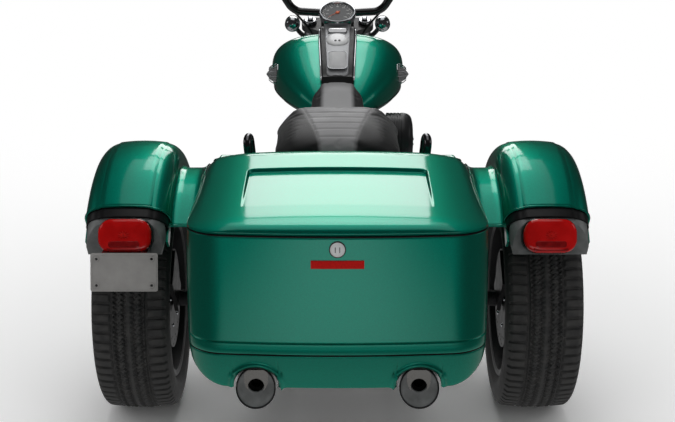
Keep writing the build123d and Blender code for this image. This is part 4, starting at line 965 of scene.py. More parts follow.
def tread_depth(x, along, width, pitch):
    """How deep the rubber is cut, from 0 to 1: cross grooves on both shoulders, four zigzag grooves round
    the middle with a straight one on either side of them, and short sipes between. along is the distance
    round the tyre."""
    u = 2 * x / width
    wave = np.abs(((along / pitch * 2) % 1.0) - 0.5) * 2 - 0.5
    middle = 0.0 * along * x
    for offset, way in ((-0.17, 1), (-0.058, -1), (0.058, 1), (0.17, -1)):
        middle = np.maximum(middle, groove(x - width * (offset + 0.036 * way * wave), 0.017 * width))
    straight = groove(np.abs(x) - 0.235 * width, 0.018 * width)
    bend = 0.10 * pitch * np.abs(u)
    phase = (((along + bend) / pitch + np.where(x > 0, 0.5, 0.0)) % 1.0 - 0.5) * pitch
    lateral = groove(phase, 0.15 * pitch) * (np.abs(u) > 0.48) * ease((0.985 - np.abs(u)) / 0.06)
    fine = 0.5 * groove(((along + x * 0.9) / pitch * 3 % 1.0 - 0.5) * pitch / 3, 0.035 * pitch, 1.0)
    fine = fine * (np.abs(u) < 0.44) * (np.abs(np.sin(x / width * 22)) > 0.35)
    return np.maximum(np.maximum(middle, straight), np.maximum(lateral, fine))


def tyre(name, size, centre, body, cad_node, cut, turns, pitches, shoulder):
    """A tyre's section, carried round the axle in a number of turns, with its tread cut into the crown in a
    number of pitches, and two rings on its walls. size is (width, radius, rim radius), cut the depth."""
    width, radius, rim = size
    bead, belly = (width * 0.40, rim), (width * 0.50, rim + (radius - rim) * 0.46)
    side, round_off = (width * 0.488, radius - width * 0.15), (width * 0.464, radius - width * 0.075)
    edge = (width * 0.415, radius - width * 0.03)
    wall = three_point_arc(bead, belly, side, 16)
    turn = three_point_arc(side, round_off, edge, shoulder)
    x = np.linspace(edge[0], 0, 30)
    crown = np.stack([x, radius - (radius - edge[1]) * (x / edge[0]) ** 2], axis=1)
    half = np.concatenate([wall, turn, crown])
    section = np.concatenate([half, (half * (-1, 1))[-2::-1]])
    inner = np.linspace(-bead[0], bead[0], 8)[1:-1]
    section = np.concatenate([section, np.stack([inner, np.full(len(inner), rim)], axis=1)])
    angle = full_turn(turns)[:, None]
    along = angle * radius
    outer = ease((section[:, 1] - (radius - width * 0.145)) / 3.0)
    depth = cut * tread_depth(section[:, 0], along, width * 0.96, 2 * np.pi * radius / pitches) * outer
    share = (section[:, 1] - rim) / (radius - rim)
    rings = 0.9 * (groove(share - 0.30, 0.012, 0.01) + groove(share - 0.70, 0.012, 0.01))
    rings = rings * (np.abs(section[:, 0]) > edge[0])
    r = section[:, 1] - depth
    x = section[:, 0] + np.sign(section[:, 0]) * rings
    grid = np.stack([np.broadcast_to(x, r.shape), -r * np.sin(angle), r * np.cos(angle)], axis=-1) + centre
    piece(name, [(grid, True, True)], body, TYRE_RUBBER, "tyre", (cad_node,), crease_deg=32)


def tyres():
    """The three tyres, each riding with its wheel."""
    for side, name in SIDES:
        tyre(f"rear_tread_{name}", REAR_TYRE, (side * WHEEL_X, 0, AXLE_Z), f"rear_wheel_{name}_body",
             f"rear_tyre_{name}", 6.5, 720, 72, 10)
    tyre("front_tread", FRONT_TYRE, FRONT_AXLE, "front_wheel_body", "front_tyre", 5.0, 540, 54, 9)


def spoke_points(x, reach, count):
    """Points evenly round the wheel's axis at one X and at a reach, or a reach each."""
    turn = full_turn(count)
    return np.stack([np.full(count, x), reach * np.sin(turn), reach * np.cos(turn)], axis=1)


def wheel_details():
    """Rolled rim lips on every wheel, and lug nuts and hub caps on the rear ones."""
    rim = REAR_TYRE[2]
    lip = [(-3, rim - 12), (-3, rim + 3.5), (1, rim + 5), (3.5, rim + 2), (3, rim - 3), (0, rim - 9),
           (-3, rim - 12)]
    cap = [(0, 0), (0, 24), (3, 24.5), (14, 22), (18, 17), (19.5, 8), (19.5, 0)]
    for side, name in SIDES:
        centre, body = (side * WHEEL_X, 0, AXLE_Z), f"rear_wheel_{name}_body"
        axis = np.asarray((side, 0.0, 0.0))
        grids = [lathe([(sign * (RIM_LIP_X + d), r) for d, r in lip], centre, axis, 96) for sign in (1, -1)]
        piece(f"rim_lips_{name}", grids, body, WHEEL_DARK, "wheel_dark")
        spots = spoke_points(side * HUB_FACE, 36, 5) + centre
        piece(f"lug_nuts_{name}", hex_heads(spots, axis, 19.0, 16.0), body, CHROME, "wheel_dark")
        hub = lathe(cap, np.asarray(centre) + axis * HUB_FACE, axis)
        piece(f"hub_cap_{name}", [hub], body, SATIN_BLACK, "wheel_dark")
    lip = [(-3, 229), (-3, 245), (1, 246.5), (3.5, 243), (3, 238), (0, 232), (-3, 229)]
    grids = [lathe([(sign * (58 + d), r) for d, r in lip], FRONT_AXLE, (1, 0, 0), 96) for sign in (1, -1)]
    piece("rim_lips_front", grids, "front_wheel_body", WHEEL_DARK, "wheel_dark")


# Tank, console and instruments

TANK_SECTIONS = np.asarray([
    # station, half width, lowest and highest point
    (742, 86, 706, 772), (800, 140, 698, 818), (930, 206, 690, 880),
    (1060, 240, 688, 932), (1168, 228, 700, 934), (1232, 140, 742, 884),
], float)


def superellipse(half, low, high, power, sides, low_power=None):
    """Closed sections |x/a|^p + |z/b|^p = 1 for rows of half widths, lowest and highest points; the lower
    half may have a power of its own."""
    angle = full_turn(sides)
    c, s = np.cos(angle), np.sin(angle)
    p = np.where(s < 0, low_power or power, power)
    x = np.sign(c) * np.abs(c) ** (2 / p)
    z = np.sign(s) * np.abs(s) ** (2 / p)
    half, low, high = (np.asarray(v, float)[:, None] for v in (half, low, high))
    return half * x, (high + low) / 2 + (high - low) / 2 * z


def round_ends(rows, rear, front, steps=10):
    """Closes a loft along Y with quarter-ellipse ends of the given reaches."""
    angle = np.linspace(0, np.pi / 2, steps)[1:]
    ends = []
    for last, reach in ((rows[0], -rear), (rows[-1], front)):
        middle = last.mean(axis=0)
        ends.append(np.stack([middle + (last - middle) * (np.cos(a), 1, np.cos(a)) + (0, reach * np.sin(a), 0)
                              for a in angle]))
    return np.concatenate([ends[0][::-1], rows, ends[1]])


def tank():
    """Teardrop tank: superellipse sections through six stations, fuller below, closed by rounded ends; and
    the welded seam low on its sides."""
    y, half, low, high = smooth_line(TANK_SECTIONS, 12).T
    x, z = superellipse(half, low, high, 2.7, 96, 3.0)
    rows = along_y(x, y, z)
    painted("tank_shell", [round_ends(rows, 14, 6)], hides=("fuel_tank",), crease_deg=60)
    seam_column = 91
    seam = evenly(rows[4:-3, seam_column], 8)
    chromed("tank_seams", both([tube(seam + (1.0, 0, 0), 2.2, 10)]))


CONSOLE_TOP = np.asarray([(812, 848), (880, 888), (1010, 941), (1103, 969), (1140, 985), (1175, 1001),
                          (1200, 990), (1219, 962)], float)


def console_top(y):
    """Height of the console's top at a station."""
    return read_curve(CONSOLE_TOP, y, 6)


def console_half(y):
    """Half width of the console at a station: wider towards the instrument."""
    return 40.0 + 10.0 * np.clip((y - 780) / 250, 0, 1)


def spine(y, half, top, depth, corner, crown):
    """Closed rows along Y: a top crowned by crown, edges rounded to corner, and straight sides depth deep."""
    a = np.linspace(0, np.pi / 2, 8)
    u = np.linspace(1, -1, 15)[1:-1]
    turned = np.stack([1 - np.cos(a), 1 - np.sin(a)], axis=-1)
    right = np.stack([half, top], axis=-1)[:, None] - corner * turned
    flat = (half[:, None] - corner) * u
    middle = np.stack([flat, top[:, None] + crown * (1 - u**2) + 0 * flat], axis=-1)
    base = np.stack([half, top - depth], axis=-1)[:, None]
    section = np.concatenate([base, right, middle, (right * (-1, 1))[:, ::-1], base * (-1, 1)], axis=1)
    rows = np.insert(section, 1, np.broadcast_to(y[:, None], section.shape[:2]), axis=2)
    ends = np.repeat(rows.mean(axis=1, keepdims=True), rows.shape[1], 1)
    return np.concatenate([ends[:1], rows, ends[-1:]])


def on_console(x, y, rise):
    """A point of the console's top, pushed up by rise."""
    return np.asarray((x, y, console_top(y) - 1.0 + rise))


def console():
    """Dash spine in satin silver between black side bands, each edged by a bright strip; a switch window, a
    filler cap with two lugs for its key, and a grey panel with a bright edge."""
    y = np.concatenate([np.linspace(812, 1200, 70), np.linspace(1202, 1221, 8)])
    top = console_top(y)
    end = 0.4 + 0.6 * np.sqrt(np.clip((1224 - y) / 26, 0, 1) * np.clip((y - 808) / 14, 0, 1))
    half = console_half(y) * end
    piece("console_cover", [spine(y, half, top - 3, 120, 9.0, 2.5)], "chassis", SILVER_SATIN, "cover_black",
          ("dash_console",), crease_deg=45)
    y = np.linspace(800, 1214, 60)
    low = read_curve(TANK_SECTIONS[:, [0, 3]], y, 12)
    band = np.minimum(console_top(y) - 5, low + 26)
    piece("console_side_bands", [spine(y, console_half(y) + 15, band, 60, 7.0, 0.5)], "chassis", HOSE_RUBBER,
          "cover_black")
    strips = []
    for side in (1, -1):
        path = np.stack([side * (console_half(y) + 16.5), y, band - 9], axis=1)
        strips.append(tube(evenly(path, 9), 3.4, 10))
    chromed("console_strips", strips)
    lie = unit((0, *(CONSOLE_TOP[2] - CONSOLE_TOP[1])))
    out = np.asarray((0, -lie[2], lie[1]))
    panel = slab(on_console(0, 880, -0.6), ACROSS, lie, 33, 56, 16, 2.4, 1.0)
    piece("console_panel", [panel], "chassis", CONSOLE_GREY, "cover_black")
    edge = rounded_box(34, 57, 16)
    edge = on_console(0, 880, 1.2) + edge[:, :1] * ACROSS + edge[:, 1:] * lie
    chromed("console_panel_edge", [hoop(edge, out, half_round(1.6, 1.4))])
    cap = [(-4, 0), (-4, 39), (1, 40), (4, 38.5), (7, 33), (9, 22), (9.5, 0)]
    # The filler cap's pale grey is painted reflection.
    piece("filler_cap", [lathe(cap, on_console(0, 1005, 0), out, 40)], "chassis", PALE_REFLECTION_GREY, "chrome")
    lugs = [lathe([(8, 0), (8, 4.6), (10.4, 4.2), (10.8, 0)], on_console(x, 988, 0), out, 16)
            for x in (-7, 7)]
    piece("filler_lock_lugs", lugs, "chassis", SATIN_BLACK, "cover_black")
    window = slab(on_console(0, 1066, 3), ACROSS, unit((0, 1.0, 0.75)), 36, 11, 8, 5.0, 1.6, 1.0)
    piece("switch_window", [window], "chassis", REFLECTOR, "chrome")


GAUGE_PLACE = np.asarray((0.0, 1165.0, 1009.0))
GAUGE_OUT, GAUGE_UP = leaning(90.0 - 26.0)


def dial_figure(name, words, centre):
    """A printed figure of the dial, raised a little above it, as a mesh whose points are in place."""
    curve = bpy.data.curves.new(name, "FONT")
    curve.body = words
    curve.size = 8.0
    curve.align_x = "CENTER"
    curve.align_y = "CENTER"
    curve.extrude = 0.3
    holder = bpy.data.objects.new(name, curve)
    mesh = bpy.data.meshes.new_from_object(holder)
    bpy.data.objects.remove(holder)
    flat = coordinates(mesh)
    placed = centre + flat[:, :1] * ACROSS + flat[:, 1:2] * GAUGE_UP + flat[:, 2:] * GAUGE_OUT
    set_points(mesh, metres(placed))
    return finished(name, mesh, "chassis", DIAL_WHITE)


def speedometer():
    """Round instrument: a stepped bezel round a grey dial with marks, figures and a pointer."""
    profile = [(-14, 0), (-14, 66), (2, 69.5), (8, 68.5), (11.5, 65.5), (12, 62.5), (10, 59.5), (6.5, 58.5),
               (4.5, 58), (4.5, 0)]
    chromed("gauge_bezel", [lathe(profile, GAUGE_PLACE, GAUGE_OUT, 72)], hides=("speedometer",))
    dial = [(4.6, 0), (4.6, 57.8), (5.2, 57.8), (5.4, 20), (5.4, 0)]
    piece("gauge_dial", [lathe(dial, GAUGE_PLACE, GAUGE_OUT, 64)], "chassis", DIAL_GREY, "chrome")
    angles = np.radians(np.linspace(225, -45, 25))
    ring_radius, figure_radius, figure_every = 55.5, 39.0, 3
    marks = []
    for index, a in enumerate(angles):
        reach = 9.0 if index % figure_every == 0 else 5.0
        toward = np.cos(a) * ACROSS + np.sin(a) * GAUGE_UP
        path = [GAUGE_PLACE + toward * r + GAUGE_OUT * 5.6 for r in (ring_radius - reach, ring_radius)]
        marks.append(tube(np.asarray(path), 0.9, 6))
    piece("gauge_marks", marks, "chassis", DIAL_WHITE, "chrome")
    for index, a in enumerate(angles[::figure_every]):
        spot = GAUGE_PLACE + (np.cos(a) * ACROSS + np.sin(a) * GAUGE_UP) * figure_radius + GAUGE_OUT * 5.5
        dial_figure(f"gauge_figure_{index}", str(index * 20), spot)
    a = math.radians(222)
    toward = math.cos(a) * ACROSS + math.sin(a) * GAUGE_UP
    needle = np.asarray([GAUGE_PLACE + toward * r + GAUGE_OUT * 7.5 for r in (-12, 0, 30, 47)])
    hub = lathe([(5, 0), (5, 7), (8.5, 6.5), (9.5, 4), (9.5, 0)], GAUGE_PLACE, GAUGE_OUT, 24)
    piece("gauge_pointer", [tube(needle, np.asarray([1.4, 1.3, 0.8, 0.3]), 8), hub], "chassis",
          POINTER_ORANGE, "chrome")


def tank_badges():
    """Blank round medallions: a chrome rim round a domed grey disc with twelve plain rays."""
    first = 0.16 * np.pi
    a = np.linspace(first, 0.5 * np.pi, 14)
    dome = np.stack([-6 + 44 * np.sin(a - first) / math.sin(0.5 * math.pi - first),
                     37 * np.cos(a) / math.cos(first)], axis=1)
    rim = [(-60, 0), (-60, 41), (-9, 41), (-4, 40.5), (-2, 38.5), (-3, 36.5), (-6, 36), (-6, 0)]
    for side, name in SIDES:
        centre, axis = np.asarray((side * 222.0, 1010.0, 812.0)), (side, 0, 0)
        chromed(f"tank_badge_rim_{name}", [lathe(rim, centre, axis)], hides=("tank_badges",))
        piece(f"tank_badge_face_{name}", [lathe([(-6, 0), *dome], centre, axis)], "chassis", PANEL_GREY,
              "chrome")
        rays = []
        for turn in full_turn(12):
            toward = np.asarray((0, math.cos(turn), math.sin(turn)))
            path = [centre + axis * np.asarray((t, 0, 0)) + toward * r
                    for t, r in ((-2.0, 37.5), (10.0, 35.0), (20.5, 29.0), (28.0, 21.0))]
            rays.append(tube(smooth_line(path, 4), 1.5, 6))
        chromed(f"tank_badge_rays_{name}", rays)


# Seats: padded pieces, pushed out by cloth pressure from a slightly smaller shape

# Vinyl over foam: stiff along the cover, stiffer in bending than cloth, pushed out from inside.
COVER_CLOTH = {"quality": 4, "mass": 0.3, "tension_stiffness": 22, "compression_stiffness": 22,
               "shear_stiffness": 12, "bending_stiffness": 2.5, "use_pressure": True,
               "uniform_pressure_force": 4.0}


def swell(made, voxel_mm, reach_mm, frames_run=20):
    """Remeshes a closed pad, lets cloth pressure push it out for frames_run frames, and keeps each point
    within reach of its start."""
    remesh = made.modifiers.new("even", "REMESH")
    remesh.mode = "VOXEL"
    remesh.voxel_size = voxel_mm / 1000.0
    remesh.use_smooth_shade = True
    applied(made)
    start = coordinates(made.data)
    cloth = made.modifiers.new("cloth", "CLOTH")
    for name, value in COVER_CLOTH.items():
        setattr(cloth.settings, name, value)
    cloth.settings.effector_weights.gravity = 0.0
    cloth.collision_settings.use_collision = False
    cloth.point_cache.frame_start = 1
    cloth.point_cache.frame_end = frames_run
    for index in range(1, frames_run + 1):
        bpy.context.scene.frame_set(index)
    applied(made)
    bpy.context.scene.frame_set(1)
    moved = coordinates(made.data) - start
    length = np.linalg.norm(moved, axis=1, keepdims=True)
    reach = reach_mm / 1000.0
    kept = reach * np.tanh(length / reach)
    set_points(made.data, start + moved / np.maximum(length, 1e-9) * kept)


def applied(made):
    """Replaces the object's mesh by what its modifiers make of it."""
    seen = made.evaluated_get(bpy.context.evaluated_depsgraph_get())
    mesh = bpy.data.meshes.new_from_object(seen)
    made.modifiers.clear()
    made.data = mesh


RIDER_HALF = np.asarray([(352, 166), (380, 180), (420, 186), (480, 182), (540, 168), (640, 120), (700, 106),
                         (760, 96), (796, 74), (812, 48)], float)
RIDER_TOP = np.asarray([(352, 768), (410, 746), (480, 733), (570, 728), (650, 742), (740, 790), (812, 850)],
                       float)


def rider_pad(spread):
    """Low bucket: the top falls in an arc from the tank and rises to the passenger's step; the plan is broad
    at the back and narrows to a round nose."""
    y = np.linspace(354 + spread, 808 - spread, 60)
    half = read_curve(RIDER_HALF, y) - spread
    top = read_curve(RIDER_TOP, y) - spread
    low = np.interp(y, [352, 690, 812], [690, 700, 790]) + spread
    x, z = superellipse(half, low, top, 2.7, 72, 3.4)
    rows = along_y(x, y, z)
    return round_ends(rows, 8, 4, 7)


# Half width and share of the height, from the foot to the flat top.
PILLION_SIDE = np.asarray([(194, 0.0), (199, 0.10), (199, 0.20), (193, 0.32), (183, 0.46), (170, 0.63),
                           (157, 0.80), (147, 0.92), (134, 0.98)], float)
PILLION_TOP = np.asarray([(46, 752), (54, 768), (70, 784), (110, 802), (180, 820), (270, 834), (330, 841),
                          (352, 842)], float)


def passenger_pad(spread):
    """Thick pillion block: broad at its foot, with shoulders that slope in to a narrow top, which falls
    to the rear and is drawn in at shallow sewn channels across it."""
    y = np.linspace(52 + spread, 346 - spread, 74)
    top = read_curve(PILLION_TOP, y) - spread
    foot = 738.0 + spread
    z = foot + PILLION_SIDE[:, 1] * (top[:, None] - foot)
    x = np.broadcast_to(PILLION_SIDE[:, 0] - spread, z.shape)
    end = np.clip(np.minimum(y - y[0], y[-1] - y) / 26.0, 0, 1)[:, None]
    taper = 1 - 0.10 * np.sqrt(1 - end * (2 - end)) - 0.06 * np.clip((130 - y[:, None]) / 80, 0, 1) ** 2
    x = x * taper
    across = np.linspace(1, -1, 23)[1:-1]
    flat_x = x[:, -1:] * across
    flat_z = z[:, -1:] + 5.0 * (1 - across**2)
    under_x = x[:, :1] * -across
    under_z = z[:, :1] + 0 * across
    ring_x = np.concatenate([x, flat_x, -x[:, ::-1], under_x], axis=1)
    ring_z = np.concatenate([z, flat_z, z[:, ::-1], under_z], axis=1)
    return round_ends(along_y(ring_x, y, ring_z), 5, 5, 7)


SEAT_CHANNELS = (92.0, 134.0, 176.0, 218.0, 260.0, 302.0)


def sew(made, name):
    """Draws the cover down along its seams: channels across the middle of the pillion, and on both seats a
    seam along each side of the top panel. Depth falls off as exp(-(distance / width)^2)."""
    points = coordinates(made.data) * 1000.0 - (0.0, ROW_SHIFT, 0.0)
    x, y, z = points.T
    if name == "passenger_seat":
        edge = np.interp(y, *np.transpose(PILLION_PANEL))
        upper = ease((z - 765) / 20)
        lines = np.abs(y[:, None] - np.asarray(SEAT_CHANNELS)).min(axis=1)
        drop = 2.4 * np.exp(-(lines / 3.4) ** 2) * ease((edge - np.abs(x)) / 5)
        drop = np.maximum(drop, 2.8 * np.exp(-((np.abs(x) - edge) / 3.4) ** 2)) * upper
        front = 2.6 * np.exp(-((z - 828) / 3.6) ** 2) * (y > 325)
        points[:, 2] -= drop
        points[:, 1] -= front
    else:
        edge = read_curve(RIDER_HALF, y) - 34
        drop = 2.2 * np.exp(-((np.abs(x) - edge) / 3.6) ** 2) * ease((z - 712) / 10)
        points[:, 2] -= drop
    set_points(made.data, metres(points))


def seats():
    """Both seats, each in place of its CAD solid."""
    for name, pad, cover in (("rider_seat", rider_pad, RIDER_HIGHLIGHT_COVER),
                             ("passenger_seat", passenger_pad, PILLION_HIGHLIGHT_COVER)):
        shrunk = 6.0
        made = piece(f"{name}_pad", [pad(shrunk)], "chassis", cover, "seat_black", (name,), crease_deg=80)
        swell(made, 5.0, 9.0)
        sew(made, name)
        made.data.shade_smooth()


# Rear fittings


def muffler_tips():
    """Slash-cut tips: a rolled rim, a dished face that falls to an outlet set high in it, the sooted inner
    pipe with a step, and two bands round each muffler. Rows are (radius, reach, slope, rise)."""
    back = unit(MUFFLER_TIP - MUFFLER_FRONT)
    up = np.asarray((0.0, back[2], -back[1]))
    slant = 0.2815
    angle = full_turn(56)

    def rows(levels):
        levels = np.asarray(levels, float)[:, None]
        radius, reach, slope, rise = (levels[..., k] for k in range(4))
        along = reach - slant * slope * radius * np.sin(angle)
        high = rise + radius * np.sin(angle)
        x = radius * np.cos(angle)
        return MUFFLER_TIP + x[..., None] * ACROSS + high[..., None] * up + along[..., None] * back

    rim = rows([(47, -8, 1, 0), (50.4, -16, 1, 0), (51.2, -3, 1, 0), (51.0, 1.5, 1, 0), (49.4, 3.0, 1, 0),
                (47.8, 2.0, 1, 0), (47.0, -1, 1, 0), (47, -8, 1, 0)])
    face = rows([(47.2, -1, 1, 0), (46.6, -2.0, 0.98, 0), (42, -5, 0.9, 1), (33, -10, 0.6, 4),
                 (25, -14, 0.3, 6.5), (22.5, -14.0, 0.25, 7), (21.5, -15.5, 0.2, 7), (21.0, -20, 0.1, 7)])
    pipe = rows([(21.0, -18, 0.1, 7), (20.8, -34, 0, 7), (17.5, -35, 0, 7), (17.0, -33, 0, 7),
                 (15.5, -33, 0, 7), (15.0, -64, 0, 7), (0, -64, 0, 7)])
    piece("muffler_tip_rims", both([rim]), "chassis", SATIN_BLACK, "exhaust_dark")
    for side, name in SIDES:
        for part, grid, used in (("face", face, PANEL_GREY), ("outlet", pipe, SOOT_AND_HOLE_SHADE)):
            piece(f"muffler_{part}_{name}", [on_side(grid, side)], "chassis", used, "exhaust_dark", wall=0.8)
    bands = []
    for run in (70.0, 560.0):
        band = [(0, 50), (0, 51.8), (2, 52.4), (14, 52.4), (16, 51.8), (16, 50)]
        bands.append(lathe([(run + step, r) for step, r in band], MUFFLER_TIP, -back, 56))
    piece("muffler_bands", both(bands), "chassis", STEEL, "exhaust_dark")


def trunk_fittings():
    """Lock with a domed face and two narrow slots, the red reflector below it, the seat's screw on its tab
    and the rings of the two rack sockets."""
    at = np.asarray((0.0, trunk_rear_y(694.0) - SKIN - 0.5, 694.0))
    out = unit((0.0, -1.0, 0.09))
    base = [(-6, 0), (-6, 21), (1.0, 21), (2.0, 20), (2.2, 0)]
    piece("trunk_lock_base", [lathe(base, at, out, 40)], "chassis", SATIN_BLACK, "cover_black")
    disc = [(0, 0), (0, 18.5), (3.6, 18.3), (4.8, 16.5), (5.6, 10), (6, 0)]
    # The lock's pale grey is painted reflection.
    piece("trunk_lock", [lathe(disc, at, out, 40)], "chassis", PALE_REFLECTION_GREY, "chrome")
    slots = [slab(at + out * 4.8 + ACROSS * x, ACROSS, (0, 0.09, 1), 0.9, 7.0, 0.8, 1.6, 0.3)
             for x in (-5.5, 5.5)]
    piece("trunk_lock_slot", slots, "chassis", SATIN_BLACK, "cover_black")
    x = np.linspace(-66, 66, 40)
    y = trunk_rear_y(656.0) - SKIN + TRUNK_BULGE * (x / TRUNK_HALF) ** 2
    strip = np.asarray([(10, 0), (10, -3), (8.5, -4.6), (-8.5, -4.6), (-10, -3), (-10, 0)], float)
    height = np.broadcast_to(656.0 + strip[:, 0], (40, 6))
    depth = y[:, None] + strip[:, 1] + 0.09 * strip[:, 0]
    rows = np.stack([np.broadcast_to(x[:, None], (40, 6)), depth, height], axis=-1)
    ends = np.repeat(rows.mean(axis=1, keepdims=True), 6, 1)
    rows = np.concatenate([ends[:1], rows, ends[-1:]])
    piece("rear_reflector", [rows], "chassis", REFLEX_RED, "lens_red")
    tab = slab((0, 36, 735), ACROSS, (0, 1, 0), 16, 16, 6, 4.0, 1.0)
    piece("seat_tab", [tab], "chassis", STEEL, "satin_steel")
    chromed("seat_screw", bolt_heads([(0, 34, 739)], (0, -0.3, 1), 8.5, 6.0))
    ring = [(0, 8.2), (0, 15), (3.0, 14.5), (4.6, 12.5), (4.0, 9), (0, 8.2)]
    rings = both([lathe(ring, (167, 14, 735), (0, 0, 1), 28)])
    chromed("rack_socket_rings", rings)


def lamp_insides():
    """On each tail lamp: a darker window, painted shade for the depth behind the lens, a star of fine prisms
    and a dark moulded foot; and the eyelets of the number plate."""
    for side, name in SIDES:
        centre = LAMP_PLACE * (side, 1, 1) + LAMP_OUT * 24.2
        # The window's darker red is painted shade for the depth behind the lens.
        window = slab(centre - LAMP_UP * 22, ACROSS, LAMP_UP, 41, 8, 6, 2.4, 0.8, 0.4)
        foot = slab(centre - LAMP_UP * 34.5 - LAMP_OUT * 4.4, ACROSS, LAMP_UP, 46, 5, 4.5, 3.4, 0.9)
        piece(f"tail_lamp_windows_{name}", [window, foot], "chassis", DARK_RED, "lens_red")
        spikes = []
        for turn in full_turn(11):
            toward = math.cos(turn) * ACROSS + 0.72 * math.sin(turn) * LAMP_UP
            line = [centre + LAMP_UP * 2 + LAMP_OUT * (4.2 + 0.5 * (1 - t)) + toward * 17 * t
                    for t in (0.1, 0.5, 1.0)]
            spikes.append(tube(line, np.asarray([2.2, 1.5, 0.3]), 6))
        piece(f"tail_lamp_star_{name}", spikes, "chassis", REFLEX_RED, "lens_red")
    spots = [PLATE_PLACE + u * ACROSS + v * PLATE_UP + PLATE_OUT * 1.2 for u in (-73, 73) for v in (-35, 35)]
    eyelet = [(0, 3.8), (0, 7.4), (0.9, 7.0), (1.0, 4.2), (0, 3.8)]
    washers = [lathe(eyelet, spot, PLATE_OUT, 20) for spot in spots]
    piece("plate_eyelets", washers, "chassis", PLATE_PAINT, "plate_grey")


def grab_rail_feet():
    """A stepped flange at each foot of the grab rails."""
    flange = [(0, 12), (0, 21), (3, 20.5), (6, 15.5), (9, 12.6), (9, 12)]
    feet = [lathe(flange, (x, y, 735), (0, 0, 1), 28) for x, y in ((262, 58), (256, 112))]
    chromed("grab_rail_feet", both(feet))


# Engine

CRANK = np.asarray((0.0, 770.0, 290.0))
CYLINDER_LEAN = math.radians(22.5)


def on_cylinder(points, lean):
    """Points modelled upright from the crank's centre, leaned forward (+1) or back (-1)."""
    p = np.asarray(points, float)
    s, c = lean * math.sin(CYLINDER_LEAN), math.cos(CYLINDER_LEAN)
    leaned = [p[..., 0], p[..., 1] * c + p[..., 2] * s, p[..., 2] * c - p[..., 1] * s]
    return np.stack(leaned, axis=-1) + CRANK


def fin_edges():
    """Bright cut edges round the cooling fins, left out where the two cylinders meet."""
    outline = rounded_box(88.2, 83.2, 34.0, 8)
    outline = np.roll(outline, -np.argmin(np.abs(outline[:, 0]) + 1e3 * (outline[:, 1] > 0)), axis=0)
    edges, first_z, fin_pitch, fin_count = [], 148.0, 11.0, 17
    for lean in (1, -1):
        loop = evenly(np.concatenate([outline, outline[:1]]) * (1, lean), 6.0)
        for fin_z in first_z + fin_pitch * np.arange(fin_count):
            ring = on_cylinder(np.stack([loop[:, 0], loop[:, 1], np.full(len(loop), fin_z)], axis=1), lean)
            ring = ring[(ring[:, 1] - CRANK[1]) * lean > 8.0]
            if len(ring) > 4:
                edges.append(tube(ring, 1.9, 4))
    piece("cylinder_fin_edges", edges, "chassis", MACHINED, "engine_black")


def rocker_details():
    """Raised lids with six bolts on the rocker covers, and plug leads with moulded boots."""
    lids, bolts, boots, leads = [], [], [], []
    for lean in (1, -1):
        centre = on_cylinder((0, 0, 387.0), lean)
        out = on_cylinder((0, 0, 388.0), lean) - centre
        ahead = np.cross(out, ACROSS)
        lids.append(slab(centre, ACROSS, ahead, 62, 42, 16, 7.0, 2.5, 2.0))
        spots = [on_cylinder((x, y, 386), lean) for x in (-66, 0, 66) for y in (-46, 46)]
        bolts += bolt_heads(spots, out, 6.0, 7.0)
        path = smooth_line([on_cylinder((70, 10, 300), lean), on_cylinder((98, 10, 308), lean),
                            on_cylinder((112, 12, 340), lean), (96, 770 + 60 * lean, 664),
                            (40, 770 + 20 * lean, 694)], 8)
        leads.append(tube(evenly(path, 8), 3.6, 10))
        boot = evenly(path[:10], 4)
        boots.append(tube(boot, np.linspace(9.5, 5.5, len(boot)), 14))
    piece("rocker_lids", lids, "chassis", SATIN_BLACK, "cover_black")
    chromed("rocker_bolts", bolts)
    piece("plug_leads", leads + boots, "chassis", HOSE_RUBBER, "engine_black")


def primary_details():
    """Left side of the engine: a bead round the primary cover, its bolts, and the round clutch cover."""
    front, clutch = np.asarray((-204.0, 780.0, 290.0)), np.asarray((-204.0, 532.0, 300.0))
    left = (-1, 0, 0)
    turn = np.radians(np.linspace(-90, 90, 26))
    loop = np.concatenate([circle_points(front, 104, turn), circle_points(clutch, 98, turn + np.pi)])
    piece("primary_bead", [hoop(loop, left, half_round(3.5, 4.0))], "chassis", MACHINED, "cover_black")
    angles = np.radians([-70, -25, 25, 70])
    spots = np.concatenate([circle_points(front, 112, angles), circle_points(clutch, 106, np.pi - angles),
                            [(-204, 656, 404.5), (-204, 656, 182)]])
    chromed("primary_bolts", bolt_heads(spots, left, 6.5, 6.0))
    cover = [(8, 0), (8, 73), (11, 74.5), (15, 72), (16, 66), (14, 63), (14, 40), (16.5, 36), (17, 0)]
    piece("clutch_cover", [lathe(cover, clutch, left, 64)], "chassis", SATIN_BLACK, "cover_black")
    ring = circle_points(clutch - (15.5, 0, 0), 52, full_turn(5))
    chromed("clutch_cover_bolts", bolt_heads(ring, left, 5.5, 4.5))
    cap = [(-1, 0), (-1, 34), (5, 33), (8, 28), (9, 12), (9, 0)]
    piece("primary_front_cap", [lathe(cap, front, left, 40)], "chassis", MACHINED, "cover_black")


